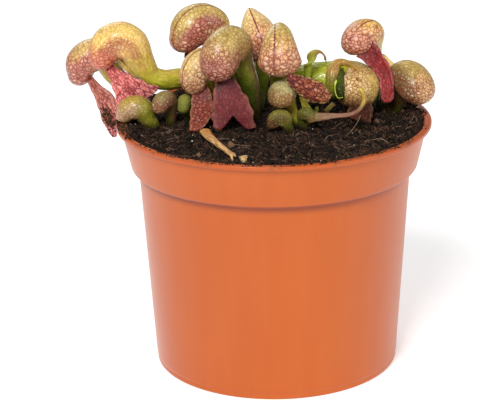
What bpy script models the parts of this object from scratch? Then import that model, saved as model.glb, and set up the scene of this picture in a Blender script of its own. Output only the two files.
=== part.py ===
"""A young cobra lily in a 9 cm nursery pot.

Each pitcher is one body: a tube that rises from the soil and swells into a hood, swept like a fan round
a hinge line under the hood. Sizes are millimetres until put_mesh turns them into metres. X is to the
right of the plant's front, Y goes to its back, Z is up, and the origin is on the pot's underside.
"""
import math
from dataclasses import dataclass, field

import bpy
import numpy as np

MM = 0.001
GAP = 0.3                       # clearance between bodies that touch on the real plant

# Pot
RIM_RADIUS = 45.0               # outer radius of the rolled lip: a 9 cm pot
POT_HEIGHT = 72.0
WALL = 1.0
FLOOR_TOP = 2.4                 # inner floor
FOOT_RADIUS = 35.2
WALL_TOP_RADIUS = 39.0          # wall just under the rim band
BAND_BOTTOM = 58.8              # height of the rim band's lower edge
BAND_BOTTOM_RADIUS = 41.1
BAND_TOP_RADIUS = 43.7
POT_SIDES = 40
DRAIN_HOLES = 6
DRAIN_RADIUS = 2.5
DRAIN_CIRCLE = 26.5             # radius of the circle the drain holes lie on
DRAIN_START = 0.55              # turn of the first hole, in parts of their spacing
DRAIN_SIDES = 12
CHANNEL_DEPTH = 1.2             # recess under the floor that holds the drain holes
CHANNEL_INNER = 22.0
CHANNEL_OUTER = 31.0

# Soil
SOIL_LEVEL = 70.4
SOIL_RINGS = 9
SOIL_RELIEF = 0.55              # height of the soil's lumps

# Leaves
HINGE_GAP = 0.25                # distance of the fan's inner edge from the hinge line
TUBE_STEP = 3.6                 # spacing of a tube's rings
STEM_STEP = 6.5                 # spacing of a rhizome's, root's or stub's rings
BLADE_THICKNESS = 0.75
FULLNESS = 1.8                  # how far a hood's flanks fill out beside its hinge
LEAF_FOOT = 65.4                # height where the leaves end, just above the rhizome
CREASE_WIDTH = 0.2              # width of a hood's furrow or ridge, as the sine of half its angle
CREASE_START = 40.0             # degrees of the fan over which it fades in behind the neck
PEAK_ANGLE = 75.0               # degrees of the fan where a crown's point stands
PEAK_SPREAD = 22.0
PEAK_WIDTH = 0.3
CAP_TURNS = (28, 52, 68)        # degrees of the rounding at each ring that closes the nose
CAP_DEPTH = 0.85                # length of that rounding over the nose's half-thickness
MOUTH = ((6, 0.30), (36, 0.25))  # degrees back from the nose's end, and scale, of the mouth's rings
MOUTH_OFFSET = 0.33             # how far the mouth lies toward the hinge, in parts of the half-thickness
NOTCH_WIDTH = 0.7               # part of a blade's half-width that its notch takes
WAVE_RATE = (9, 2)              # phase of a blade's waves along it and across it, in radians
SMOOTH_ANGLE = math.radians(40)  # edges sharper than this stay sharp


def vector(*values):
    return np.array(values, dtype=float)


def unit(v):
    return v / np.linalg.norm(v)


def turned(v, axis, degrees):
    """The vector v turned about a unit axis."""
    angle = math.radians(degrees)
    return (v * math.cos(angle) + np.cross(axis, v) * math.sin(angle)
            + axis * np.dot(axis, v) * (1 - math.cos(angle)))


def through(x, knots, values):
    """A smooth value at x through three knots."""
    (a, b, c), (p, q, r) = knots, values
    return (p * (x - b) * (x - c) / ((a - b) * (a - c))
            + q * (x - a) * (x - c) / ((b - a) * (b - c))
            + r * (x - a) * (x - b) / ((c - a) * (c - b)))


def smooth_path(points, step, end_tangent=None):
    """Points about every step along a smooth curve through hand-set points, of any dimension."""
    pts = np.array(points, dtype=float)
    tangents = np.gradient(pts, axis=0)
    if end_tangent is not None:
        tangents[-1][:3] = end_tangent * np.linalg.norm(pts[-1][:3] - pts[-2][:3])
    out = []
    for i in range(len(pts) - 1):
        length = np.linalg.norm(pts[i + 1][:3] - pts[i][:3])
        count = max(1, round(length / step))
        for k in range(count):
            t = k / count
            out.append((2 * t**3 - 3 * t**2 + 1) * pts[i] + (t**3 - 2 * t**2 + t) * tangents[i]
                       + (3 * t**2 - 2 * t**3) * pts[i + 1] + (t**3 - t**2) * tangents[i + 1])
    out.append(pts[-1])
    return np.array(out)


def material(name, color, roughness):
    """A Principled material, made once."""
    if name in bpy.data.materials:
        return bpy.data.materials[name]
    mat = bpy.data.materials.new(name)
    mat.use_nodes = True
    mat.diffuse_color = (*color, 1.0)
    shader = mat.node_tree.nodes["Principled BSDF"]
    shader.inputs["Base Color"].default_value = (*color, 1.0)
    shader.inputs["Roughness"].default_value = roughness
    shader.inputs["Metallic"].default_value = 0.0
    return mat


def volume(verts, faces):
    """Signed volume of a closed mesh, positive when its faces point out."""
    total = 0.0
    for face in faces:
        for i in range(1, len(face) - 1):
            total += np.dot(verts[face[0]], np.cross(verts[face[i]], verts[face[i + 1]]))
    return total / 6


def put_mesh(name, verts, faces, mat):
    """Adds an object from points in millimetres, its faces pointing out."""
    verts = np.array(verts)
    if volume(verts, faces) < 0:
        faces = [tuple(reversed(face)) for face in faces]
    mesh = bpy.data.meshes.new(name)
    mesh.from_pydata((verts * MM).tolist(), [], faces)
    mesh.materials.append(mat)
    obj = bpy.data.objects.new(name, mesh)
    bpy.context.scene.collection.objects.link(obj)
    mesh.shade_smooth()
    mesh.set_sharp_from_angle(angle=SMOOTH_ANGLE)
    return obj


def loft(rings):
    """Points and faces of a closed body through rings of equal length."""
    sides = len(rings[0])
    verts = [point for ring in rings for point in ring]
    faces = []
    for i in range(len(rings) - 1):
        for k in range(sides):
            a = i * sides + k
            b = i * sides + (k + 1) % sides
            faces.append((a, b, b + sides))
            faces.append((a, b + sides, a + sides))
    faces.append(tuple(reversed(range(sides))))
    faces.append(tuple(range(len(verts) - sides, len(verts))))
    return verts, faces


def cut(target, cutters):
    """Takes the cutters out of the target, and removes them."""
    for cutter in cutters:
        mod = target.modifiers.new("cut", "BOOLEAN")
        mod.operation = "DIFFERENCE"
        mod.solver = "EXACT"
        mod.object = cutter
        bpy.context.view_layer.objects.active = target
        bpy.ops.object.modifier_apply(modifier=mod.name)
        bpy.data.objects.remove(cutter)


def fuse(target, others):
    """Joins the others to the target as one body, and removes them."""
    for other in others:
        mod = target.modifiers.new("fuse", "BOOLEAN")
        mod.operation = "UNION"
        mod.solver = "EXACT"
        mod.object = other
        bpy.context.view_layer.objects.active = target
        bpy.ops.object.modifier_apply(modifier=mod.name)
        bpy.data.objects.remove(other)


def keep_largest(obj):
    """Drops the loose scraps that a cut leaves beside the main body."""
    mesh = obj.data
    group = list(range(len(mesh.vertices)))

    def root(i):
        while group[i] != i:
            group[i] = group[group[i]]
            i = group[i]
        return i

    for edge in mesh.edges:
        a, b = (root(i) for i in edge.vertices)
        group[a] = b
    sizes = {}
    for i in range(len(group)):
        sizes[root(i)] = sizes.get(root(i), 0) + 1
    main = max(sizes, key=sizes.get)
    faces = [tuple(p.vertices) for p in mesh.polygons if root(p.vertices[0]) == main]
    used = sorted({i for face in faces for i in face})
    index = {old: new for new, old in enumerate(used)}
    verts = [tuple(mesh.vertices[i].co) for i in used]
    mesh.clear_geometry()
    mesh.from_pydata(verts, [], [tuple(index[i] for i in face) for face in faces])
    mesh.shade_smooth()
    mesh.set_sharp_from_angle(angle=SMOOTH_ANGLE)


@dataclass
class Pitcher:
    """A tube and its hood. The hood turns from the neck, behind the hinge, over the top to the nose."""
    name: str
    hinge: tuple                # point under the hood that it folds over
    heading: float              # degrees in plan that the hood looks to; 0 is +X, 270 the front
    radii: tuple                # half-thickness of the hood at the neck, the top and the nose
    tube: list                  # (x, y, z, radius) from the foot to below the neck
    widths: tuple = (1.0, 1.1, 1.0)   # half-width over half-thickness at the same three places
    sweep: float = 165.0        # degrees from the neck to where the nose starts to round off
    pitch: float = 0.0          # degrees the hood tips forward
    roll: float = 0.0           # degrees the hood leans to its own right
    crease: float = 0.0         # depth of the furrow down the back; below zero it is a ridge
    peak: float = 0.0           # height of a point on the crown
    sides: int = 12
    fan_steps: int = 9          # rings round the hood
    color: tuple = (0.45, 0.42, 0.10)

    def frame(self):
        """Unit vectors to the front, up and sideways of the hood."""
        angle = math.radians(self.heading)
        front = vector(math.cos(angle), math.sin(angle), 0)
        up = vector(0, 0, 1)
        side = np.cross(up, front)
        front, up = turned(front, side, self.pitch), turned(up, side, self.pitch)
        up, side = turned(up, front, self.roll), turned(side, front, self.roll)
        return front, up, side

    def outward(self, theta):
        """Direction from the hinge at an angle of the fan: 0 is behind it, 90 above, 180 in front."""
        front, up, _ = self.frame()
        t = math.radians(theta)
        return up * math.sin(t) - front * math.cos(t)

    def half(self, theta):
        """Half-thickness and half-width of the hood at an angle of the fan."""
        knots = (0, 90, self.sweep)
        theta = min(theta, self.sweep)
        thick = through(theta, knots, self.radii)
        return thick, thick * through(theta, knots, self.widths)

    def hood_ring(self, theta, scale=1.0, toward=0.0, grow=0.0):
        """A ring of the hood; toward moves it to the hinge, in parts of the half-thickness."""
        out = self.outward(theta)
        side = self.frame()[2]
        thick, wide = self.half(theta)
        centre = vector(*self.hinge) + out * (HINGE_GAP + thick * (1 - toward))
        square = 2 + FULLNESS * math.sin(math.radians(min(theta, 180))) ** 0.7 if theta > 0 else 2
        ring = []
        for k in range(self.sides):
            phi = 2 * math.pi * k / self.sides
            across, along = math.sin(phi), math.cos(phi)
            from_back = math.sin(phi / 2)
            furrow = self.crease * math.exp(-(from_back / CREASE_WIDTH) ** 2) * min(1, theta / CREASE_START)
            along_crown = (theta - PEAK_ANGLE) / PEAK_SPREAD
            bump = self.peak * math.exp(-along_crown ** 2 - (from_back / PEAK_WIDTH) ** 2)
            swell = bump - furrow if scale > 0.9 else 0
            clear = grow
            if along < -1e-9:
                across = math.copysign(abs(across) ** (2 / square), across)
                along = -abs(along) ** (2 / square)
                clear = min(grow, HINGE_GAP - 0.05)
            ring.append(centre + out * (along * (thick * scale + clear) + swell)
                        + side * across * (wide * scale + grow))
        return ring

    def tube_rings(self, grow=0.0):
        """Rings of the tube from its foot to just below the neck."""
        front, up, _ = self.frame()
        neck_radius = self.radii[0]
        neck = vector(*self.hinge) - front * (HINGE_GAP + neck_radius)
        points = [*self.tube, (*neck, neck_radius)]
        path = smooth_path(points, TUBE_STEP, end_tangent=up)
        outward = -front
        rings = []
        for i in range(len(path) - 2, -1, -1):
            tangent = unit(path[min(i + 1, len(path) - 1)][:3] - path[max(i - 1, 0)][:3])
            if i == 0:
                tangent = vector(0, 0, 1)
            outward = unit(outward - tangent * np.dot(outward, tangent))
            across = np.cross(tangent, outward)
            centre = path[i][:3] - tangent * (grow if i == 0 else 0)
            radius = path[i][3] + grow
            ring = []
            for k in range(self.sides):
                phi = 2 * math.pi * k / self.sides
                ring.append(centre + (outward * math.cos(phi) - across * math.sin(phi)) * radius)
            rings.append(ring)
        return rings[::-1]

    def rings(self, grow=0.0, mouth=True):
        """All rings from the foot to the nose, and back up into the mouth."""
        steps = self.fan_steps
        rings = self.tube_rings(grow)
        rings += [self.hood_ring(self.sweep * i / steps, grow=grow) for i in range(steps + 1)]
        turn = math.degrees(CAP_DEPTH * self.radii[2] / (HINGE_GAP + self.radii[2]))
        rounding = math.degrees(grow / (HINGE_GAP + self.radii[2]))
        for psi in CAP_TURNS:
            part = math.sin(math.radians(psi))
            scale = math.cos(math.radians(psi))
            rings.append(self.hood_ring(self.sweep + turn * part + rounding, scale,
                                        0.5 * (1 - scale), grow))
        if mouth:
            end = self.sweep + turn * part
            for back, scale in MOUTH:
                rings.append(self.hood_ring(end - back, scale, MOUTH_OFFSET))
        return rings

    def foot_cutter(self):
        """The tube's lower part with its clearance, to the first ring of the hood."""
        rings = self.tube_rings(GAP) + [self.hood_ring(0, grow=GAP)]
        return put_mesh("hole_" + self.name, *loft(rings), self.leaf_material())

    def leaf_material(self):
        return material("leaf_" + self.name, self.color, 0.4)

    def body(self):
        return put_mesh(self.name, *loft(self.rings()), self.leaf_material())

    def cutter(self):
        """The pitcher with its clearance, closed over its mouth."""
        return put_mesh("cutter_" + self.name, *loft(self.rings(GAP, mouth=False)), self.leaf_material())


@dataclass
class Blade:
    """A thin curved blade: a pitcher's tongue or a young leaf. It may end in a notch like a fish's tail."""
    name: str
    path: list                  # (x, y, z, half-width) from the root to the tip
    side: tuple                 # direction across the blade at its root
    end_side: tuple = None      # direction across it at its tip
    gutter: float = 0.0         # how far the edges rise above the middle, in parts of the half-width
    notch: float = 0.0          # depth of the notch in parts of the length
    lean: float = 0.0           # how much longer one lobe is than the other
    rounding: float = 0.08      # how much shorter the corners are, in parts of the length
    ripple: float = 0.0         # height of the waves along the edges
    across: int = 6
    step: float = 2.6
    color: tuple = (0.42, 0.07, 0.08)
    cut_by: list = field(default_factory=list)

    def surface(self, u, v, path):
        """A point of the blade's middle surface: u from -1 to 1 across, v from 0 to 1 along."""
        reach = 1 - self.notch * max(0, 1 - abs(u) / NOTCH_WIDTH) ** 1.2 + self.lean * u
        reach -= self.rounding * max(0, (abs(u) - 0.5) / 0.5) ** 2
        place = min(v * reach, 1.0) * (len(path) - 1)
        i = min(int(place), len(path) - 2)
        point = path[i] + (path[i + 1] - path[i]) * (place - i)
        low, high = path[max(i - 1, 0)][:3], path[min(i + 2, len(path) - 1)][:3]
        tangent = unit(high - low)
        start = vector(*self.side)
        end = vector(*(self.end_side or self.side))
        across = start + (end - start) * v
        across = unit(across - tangent * np.dot(across, tangent))
        normal = np.cross(tangent, across)
        half = point[3]
        wave = math.sin(WAVE_RATE[0] * v + WAVE_RATE[1] * u)
        rise = (self.gutter * half + self.ripple * wave) * u * u
        return point[:3] + across * u * half + normal * rise

    def sheet(self, grow=0.0):
        """Points and faces of the blade, split into triangles alike on both faces."""
        across = self.across
        path = smooth_path(self.path, 0.5)
        path[0][:3] -= unit(path[1][:3] - path[0][:3]) * grow
        path[-1][:3] += unit(path[-1][:3] - path[-2][:3]) * grow
        path[:, 3] += grow
        length = np.linalg.norm(np.diff(path[:, :3], axis=0), axis=1).sum()
        along = max(4, round(length / self.step))
        grid = np.array([[self.surface(-1 + 2 * j / across, i / along, path) for j in range(across + 1)]
                         for i in range(along + 1)])
        du = np.gradient(grid, axis=1)
        dv = np.gradient(grid, axis=0)
        normal = np.cross(dv, du)
        normal /= np.linalg.norm(normal, axis=2)[:, :, None]
        half = BLADE_THICKNESS / 2 + grow
        verts = np.concatenate([(grid + normal * half).reshape(-1, 3), (grid - normal * half).reshape(-1, 3)])
        columns = across + 1
        under = columns * (along + 1)
        faces = []
        for i in range(along):
            for j in range(across):
                a = i * columns + j
                b, c, d = a + 1, a + columns + 1, a + columns
                for tri in ((a, b, c), (a, c, d)):
                    faces.append(tri)
                    faces.append(tuple(n + under for n in reversed(tri)))
        edge = list(range(columns))
        edge += [i * columns + across for i in range(1, along + 1)]
        edge += [along * columns + j for j in range(across - 1, -1, -1)]
        edge += [i * columns for i in range(along - 1, 0, -1)]
        for a, b in zip(edge, edge[1:] + edge[:1]):
            faces.append((b, a, a + under))
            faces.append((b, a + under, b + under))
        return verts, faces

    def blade_material(self):
        return material("blade_" + self.name, self.color, 0.4)

    def cutter(self):
        return put_mesh("hole_" + self.name, *self.sheet(GAP), self.blade_material())

    def body(self, cutters=()):
        obj = put_mesh(self.name, *self.sheet(), self.blade_material())
        if cutters:
            cut(obj, cutters)
            keep_largest(obj)
        return obj


# Colours, linear
YELLOW_GREEN = (0.50, 0.45, 0.09)
OLIVE = (0.33, 0.26, 0.09)
GREEN = (0.22, 0.36, 0.03)
BROWN = (0.27, 0.17, 0.08)
RED = (0.42, 0.07, 0.09)
WINE = (0.24, 0.05, 0.09)
STRAW = (0.55, 0.36, 0.16)
DRY_BROWN = (0.36, 0.17, 0.07)
POT_COLOR = (0.62, 0.16, 0.05)
SOIL_COLOR = (0.03, 0.02, 0.015)

PITCHERS = [
    Pitcher("pitcher_far_left", (-51.5, 16.4, 82.6), 186, (3.3, 4.7, 4.3),
            [(-35.4, 8.6, LEAF_FOOT, 1.8), (-36.4, 10.6, 71.0, 2.0), (-40.8, 14.2, 76.4, 2.4)],
            pitch=15, sweep=172, color=YELLOW_GREEN),
    Pitcher("pitcher_big_arch", (-43.4, 4.5, 89.6), 180, (4.3, 5.0, 4.6),
            [(-17.0, 8.6, LEAF_FOOT, 2.0), (-17.4, 11.4, 73.0, 2.3), (-20.0, 11.0, 79.4, 2.7),
             (-25.4, 9.0, 81.8, 2.9), (-31.4, 5.6, 82.4, 3.0), (-35.2, 4.6, 84.2, 3.1),
             (-37.2, 4.5, 87.4, 3.9)],
            widths=(1.0, 1.0, 0.95), pitch=4, sweep=172, color=YELLOW_GREEN),
    Pitcher("pitcher_low_arch", (-39.4, -2.9, 73.4), 180, (2.6, 3.3, 2.7),
            [(-33.2, 0.6, LEAF_FOOT, 1.7), (-33.6, -2.2, 70.5, 2.2)],
            sweep=158, sides=8, fan_steps=7, color=BROWN),
    Pitcher("pitcher_small_brown", (-30.7, -3.2, 76.7), 228, (1.7, 2.3, 2.2),
            [(-29.2, 1.8, LEAF_FOOT, 1.3), (-29.4, -0.6, 71.5, 1.5)],
            widths=(1.0, 1.15, 1.15), sides=8, fan_steps=7, color=BROWN),
    Pitcher("pitcher_small_green", (-25.2, 0.5, 75.4), 258, (1.3, 1.9, 1.8),
            [(-24.6, 3.6, LEAF_FOOT, 1.1), (-24.8, 2.4, 71.5, 1.2)],
            widths=(1.0, 1.05, 1.05), sides=8, fan_steps=7, color=GREEN),
    Pitcher("pitcher_top_left", (-20.6, 12.6, 91.3), 205, (3.4, 5.8, 5.0),
            [(-10.6, 9.6, LEAF_FOOT, 1.9), (-10.4, 13.0, 74.0, 2.3), (-13.0, 15.2, 82.5, 2.8)],
            widths=(1.0, 0.98, 0.95), sweep=158, crease=-0.35, color=OLIVE),
    Pitcher("pitcher_left_hanging", (-18.7, 2.8, 84.4), 207, (3.0, 4.1, 4.0),
            [(-13.2, 5.0, LEAF_FOOT, 1.8), (-13.3, 4.2, 74.0, 2.2), (-14.2, 4.9, 79.4, 2.6)],
            widths=(1.0, 1.0, 1.0), pitch=22, sweep=176, crease=-0.25, color=OLIVE),
    Pitcher("pitcher_centre", (-11.6, -3.6, 89.8), 228, (3.4, 5.3, 5.2),
            [(-6.4, 4.6, LEAF_FOOT, 1.8), (-6.0, 1.6, 74.0, 2.5), (-6.8, 0.6, 81.5, 2.9)],
            widths=(1.0, 0.95, 1.05), pitch=12, color=OLIVE),
    Pitcher("pitcher_pointed", (-3.0, 16.6, 88.5), 278, (3.0, 5.0, 4.5),
            [(-4.4, 10.4, LEAF_FOOT, 1.7), (-4.2, 17.2, 73.0, 2.0), (-3.4, 19.6, 81.0, 2.5)],
            widths=(1.0, 1.0, 1.2), roll=17, crease=-0.5, peak=1.9, color=YELLOW_GREEN),
    Pitcher("pitcher_front", (1.8, -1.0, 89.3), 270, (3.3, 5.2, 5.1),
            [(1.8, 4.6, LEAF_FOOT, 1.8), (2.4, 3.2, 74.0, 2.3), (2.0, 3.2, 82.0, 2.8)],
            widths=(1.0, 0.86, 1.22), crease=0.55, color=OLIVE),
    Pitcher("pitcher_small_pale", (3.2, -5.4, 79.2), 243, (1.8, 2.8, 2.8),
            [(5.8, -2.4, LEAF_FOOT, 1.3), (6.0, -3.6, 73.0, 1.5)],
            widths=(1.0, 1.3, 1.35), sides=8, fan_steps=7, color=OLIVE),
    Pitcher("pitcher_small_arch", (1.6, -9.0, 72.4), 188, (1.6, 2.4, 1.8),
            [(5.8, -6.6, LEAF_FOOT, 1.2), (5.3, -8.0, 70.0, 1.4)],
            widths=(1.0, 0.95, 0.9), sweep=158, sides=8, fan_steps=7, color=GREEN),
    Pitcher("pitcher_small_bulb", (9.2, -8.4, 74.0), 330, (1.3, 1.7, 1.3),
            [(9.2, -4.6, LEAF_FOOT, 1.1), (8.7, -6.4, 70.5, 1.2)],
            widths=(1.0, 1.35, 1.2), sides=8, fan_steps=7, color=GREEN),
    Pitcher("pitcher_lying", (19.4, 4.6, 80.4), 270, (5.4, 5.4, 4.4),
            [(2.4, 10.4, LEAF_FOOT, 1.9), (2.6, 12.2, 72.0, 2.8), (5.2, 11.8, 77.5, 4.3),
             (10.0, 11.2, 79.6, 5.4)],
            widths=(1.12, 1.15, 1.1), roll=-100, sweep=150, color=GREEN),
    Pitcher("pitcher_upper_right", (27.0, 12.4, 89.7), 217, (2.3, 4.0, 4.1),
            [(28.6, 12.2, LEAF_FOOT, 1.7), (29.4, 14.6, 74.0, 1.9), (29.6, 15.4, 83.0, 2.1)],
            widths=(1.0, 1.15, 1.15), sweep=158, crease=-0.35, color=YELLOW_GREEN),
    Pitcher("pitcher_far_right", (38.4, 7.4, 77.4), 305, (3.6, 4.6, 4.9),
            [(34.0, 9.4, LEAF_FOOT, 1.8), (34.8, 10.4, 71.0, 2.5)],
            widths=(1.0, 1.05, 1.1), sweep=162, color=OLIVE),
    Pitcher("pitcher_behind_right", (33.9, 18.2, 82.0), 350, (1.4, 1.9, 1.4),
            [(32.8, 14.0, LEAF_FOOT, 1.1), (32.6, 17.8, 74.0, 1.2)],
            sides=8, fan_steps=7, color=STRAW),
]

TONGUES = [
    Blade("tongue_far_left",
          [(-54.6, 15.2, 82.0, 0.9), (-52.3, 13.4, 78.9, 1.3), (-48.6, 12.2, 73.7, 2.8),
           (-47.4, 11.6, 69.0, 2.4), (-47.4, 11.2, 64.2, 1.8)],
          (1, 0.1, 0), gutter=0.25, across=4, color=RED, cut_by=["pitcher_far_left"]),
    Blade("tongue_big_arch",
          [(-48.0, 4.0, 88.2, 1.0), (-45.8, 3.2, 85.6, 1.7), (-42.4, 1.9, 81.8, 3.9),
           (-38.8, 1.1, 77.5, 6.2)],
          (0.8, -0.1, 0.6), end_side=(0.97, 0, 0.25), gutter=0.1, notch=0.22, lean=0.04, ripple=0.25,
          across=8, color=RED, cut_by=["pitcher_big_arch"]),
    Blade("tongue_top_left",
          [(-23.6, 11.2, 90.4, 1.0), (-24.2, 10.4, 88.4, 1.4), (-23.9, 9.8, 87.0, 1.7),
           (-23.6, 9.4, 85.8, 1.5)],
          (0.9, 0.4, 0), gutter=0.2, across=4, color=WINE, cut_by=["pitcher_top_left"]),
    Blade("tongue_left_hanging",
          [(-20.8, 0.4, 81.4, 2.4), (-20.2, -2.4, 77.0, 3.2), (-20.6, -6.4, 74.0, 3.1),
           (-21.7, -10.8, 72.0, 2.2)],
          (1, 0, 0), end_side=(0.9, 0, 0.35), gutter=0.2, lean=-0.08, across=6, color=RED,
          cut_by=["pitcher_left_hanging"]),
    Blade("tongue_centre",
          [(-13.2, -7.4, 86.0, 2.6), (-12.8, -9.0, 82.2, 4.2), (-11.8, -10.2, 78.0, 5.6),
           (-11.0, -11.4, 71.9, 6.0)],
          (1, 0.1, -0.1), gutter=-0.12, notch=0.3, lean=0.06, ripple=0.3, across=8, color=WINE,
          cut_by=["pitcher_centre"]),
    Blade("tongue_front",
          [(4.0, -8.8, 87.0, 1.3), (6.8, -9.6, 85.2, 2.2), (11.6, -9.2, 82.6, 3.2),
           (15.8, -8.6, 80.2, 1.6)],
          (-0.35, -0.3, -0.9), gutter=0.2, across=6, color=RED, cut_by=["pitcher_front"]),
    Blade("tongue_small_bulb",
          [(10.8, -9.2, 75.0, 1.5), (13.6, -10.0, 75.4, 1.1), (17.8, -11.0, 75.9, 0.7),
           (22.0, -11.5, 76.5, 0.6), (24.6, -12.0, 78.6, 0.7), (25.3, -12.2, 81.4, 0.8),
           (24.2, -12.5, 84.2, 0.4)],
          (0, -0.5, -0.9), end_side=(0.9, -0.5, 0), across=2, step=1.8, color=DRY_BROWN,
          cut_by=["pitcher_small_bulb"]),
    Blade("tongue_lying",
          [(25.0, 0.4, 77.6, 2.2), (24.9, -0.8, 74.8, 3.4), (23.8, -2.8, 71.9, 3.7)],
          (1, 0, -0.1), gutter=0.2, across=4, color=DRY_BROWN, cut_by=["pitcher_lying"]),
    Blade("tongue_upper_right",
          [(26.0, 8.2, 90.2, 2.4), (29.0, 6.9, 87.6, 2.1), (32.2, 5.4, 83.4, 1.8),
           (32.6, 3.6, 79.4, 1.7), (32.4, 3.0, 75.6, 1.5)],
          (0.85, 0, 0.5), end_side=(1, 0, 0), gutter=0.3, across=6, color=RED,
          cut_by=["pitcher_upper_right"]),
]

THIN_LEAVES = [
    Blade("young_leaf_curled",
          [(8.2, 2.6, LEAF_FOOT, 0.8), (9.1, 3.1, 75.0, 0.8), (9.6, 3.6, 84.0, 0.7), (9.7, 3.7, 87.0, 1.3),
           (11.0, 3.8, 90.0, 1.2), (13.2, 3.8, 90.6, 0.6), (14.7, 3.8, 89.4, 0.4), (14.9, 3.8, 88.0, 0.4)],
          (1, 0, 0), end_side=(0, 0.2, 1), rounding=0, across=2, color=GREEN),
    Blade("young_leaf_leaning",
          [(10.0, -1.6, LEAF_FOOT, 0.8), (10.4, -3.6, 73.0, 1.1), (9.0, -4.4, 77.0, 1.0),
           (7.6, -4.6, 79.8, 0.5)],
          (0.9, 0, 0.4), rounding=0, across=2, color=GREEN),
    Blade("dry_stalk",
          [(-10.4, -36.0, 67.0, 0.8), (-11.0, -35.0, 71.8, 0.8), (-12.4, -31.5, 72.2, 0.9),
           (-15.8, -22.5, 72.1, 1.1), (-18.2, -16.5, 72.5, 1.5), (-19.4, -13.6, 73.2, 1.6)],
          (0.9, 0.4, 0), gutter=0.3, rounding=0, across=2, color=STRAW),
]


@dataclass
class Stem:
    """A round stem of straight sides through hand-set points."""
    name: str
    path: list                  # (x, y, z, radius) from the foot up
    sides: int = 6
    flat: float = 1.0           # height of the section over its width
    color: tuple = (0.36, 0.17, 0.07)

    def rings(self, grow=0.0):
        path = smooth_path(self.path, STEM_STEP)
        upright = abs(path[-1][2] - path[0][2]) > np.linalg.norm(path[-1][:2] - path[0][:2])
        reference = vector(1, 0, 0) if upright else vector(0, 0, 1)
        rings = []
        for i, point in enumerate(path):
            tangent = unit(path[min(i + 1, len(path) - 1)][:3] - path[max(i - 1, 0)][:3])
            across = unit(np.cross(tangent, reference))
            over = np.cross(across, tangent)
            end = {0: -1, len(path) - 1: 1}.get(i, 0)
            ring = []
            for k in range(self.sides):
                phi = 2 * math.pi * (k + 0.5) / self.sides
                ring.append(point[:3] + tangent * end * grow
                            + across * math.cos(phi) * (point[3] + grow)
                            + over * math.sin(phi) * (point[3] * self.flat + grow))
            rings.append(ring)
        return rings

    def body(self, grow=0.0):
        return put_mesh(self.name, *loft(self.rings(grow)), material("stem_" + self.name, self.color, 0.7))


STUBS = [
    Stem("dry_stub_middle", [(-15.4, -7.4, 66.6, 0.8), (-15.6, -7.8, 73.4, 1.1)], color=DRY_BROWN),
    Stem("dry_stub_front", [(-7.4, -36.2, 67.0, 0.8), (-8.4, -35.4, 72.2, 1.1)], color=STRAW),
]

RHIZOME_COLOR = (0.30, 0.20, 0.10)
RHIZOME_FLAT = 0.5              # height of the rhizome over its width
RHIZOME_SIDES = 8


def creeping(points):
    """The path of a flattened stem whose top stays just under the leaves' feet."""
    over = RHIZOME_FLAT * math.cos(math.pi / RHIZOME_SIDES)
    return [(x, y, LEAF_FOOT - GAP - radius * over, radius) for x, y, radius in points]


RHIZOME = Stem("rhizome", creeping([
    (-36.6, 8.8, 2.8), (-33.2, 3.6, 3.4), (-28.0, 2.6, 3.2), (-17.0, 6.4, 3.8), (-8.0, 7.2, 4.6),
    (2.0, 7.4, 4.6), (12.0, 8.0, 3.0), (22.0, 10.0, 2.8), (34.4, 11.4, 3.6)]),
    sides=RHIZOME_SIDES, flat=RHIZOME_FLAT, color=RHIZOME_COLOR)
RHIZOME_BRANCH = Stem("rhizome_branch", creeping([(4.0, 6.0, 3.0), (6.6, -1.0, 3.8), (7.2, -7.4, 3.0)]),
                      sides=RHIZOME_SIDES, flat=RHIZOME_FLAT, color=RHIZOME_COLOR)
ROOTS = [Stem("root",
              [(x, y, LEAF_FOOT - 2.5, 1.0), (x + lean, y - 4, 44.0, 0.8), (x - lean, y - 9, 24.0, 0.5)],
              sides=5, color=RHIZOME_COLOR)
         for x, y, lean in [(-30.0, 2.8, 2.5), (-13.0, 6.6, -3.0), (0.0, 7.4, 3.0), (7.0, -3.0, -3.5),
                            (29.0, 11.0, -3.0)]]


def circle(radius, height, sides=POT_SIDES, centre=(0, 0)):
    """Points of a level circle."""
    ring = []
    for k in range(sides):
        angle = 2 * math.pi * k / sides
        x, y = radius * math.cos(angle), radius * math.sin(angle)
        ring.append(vector(centre[0] + x, centre[1] + y, height))
    return ring


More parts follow.
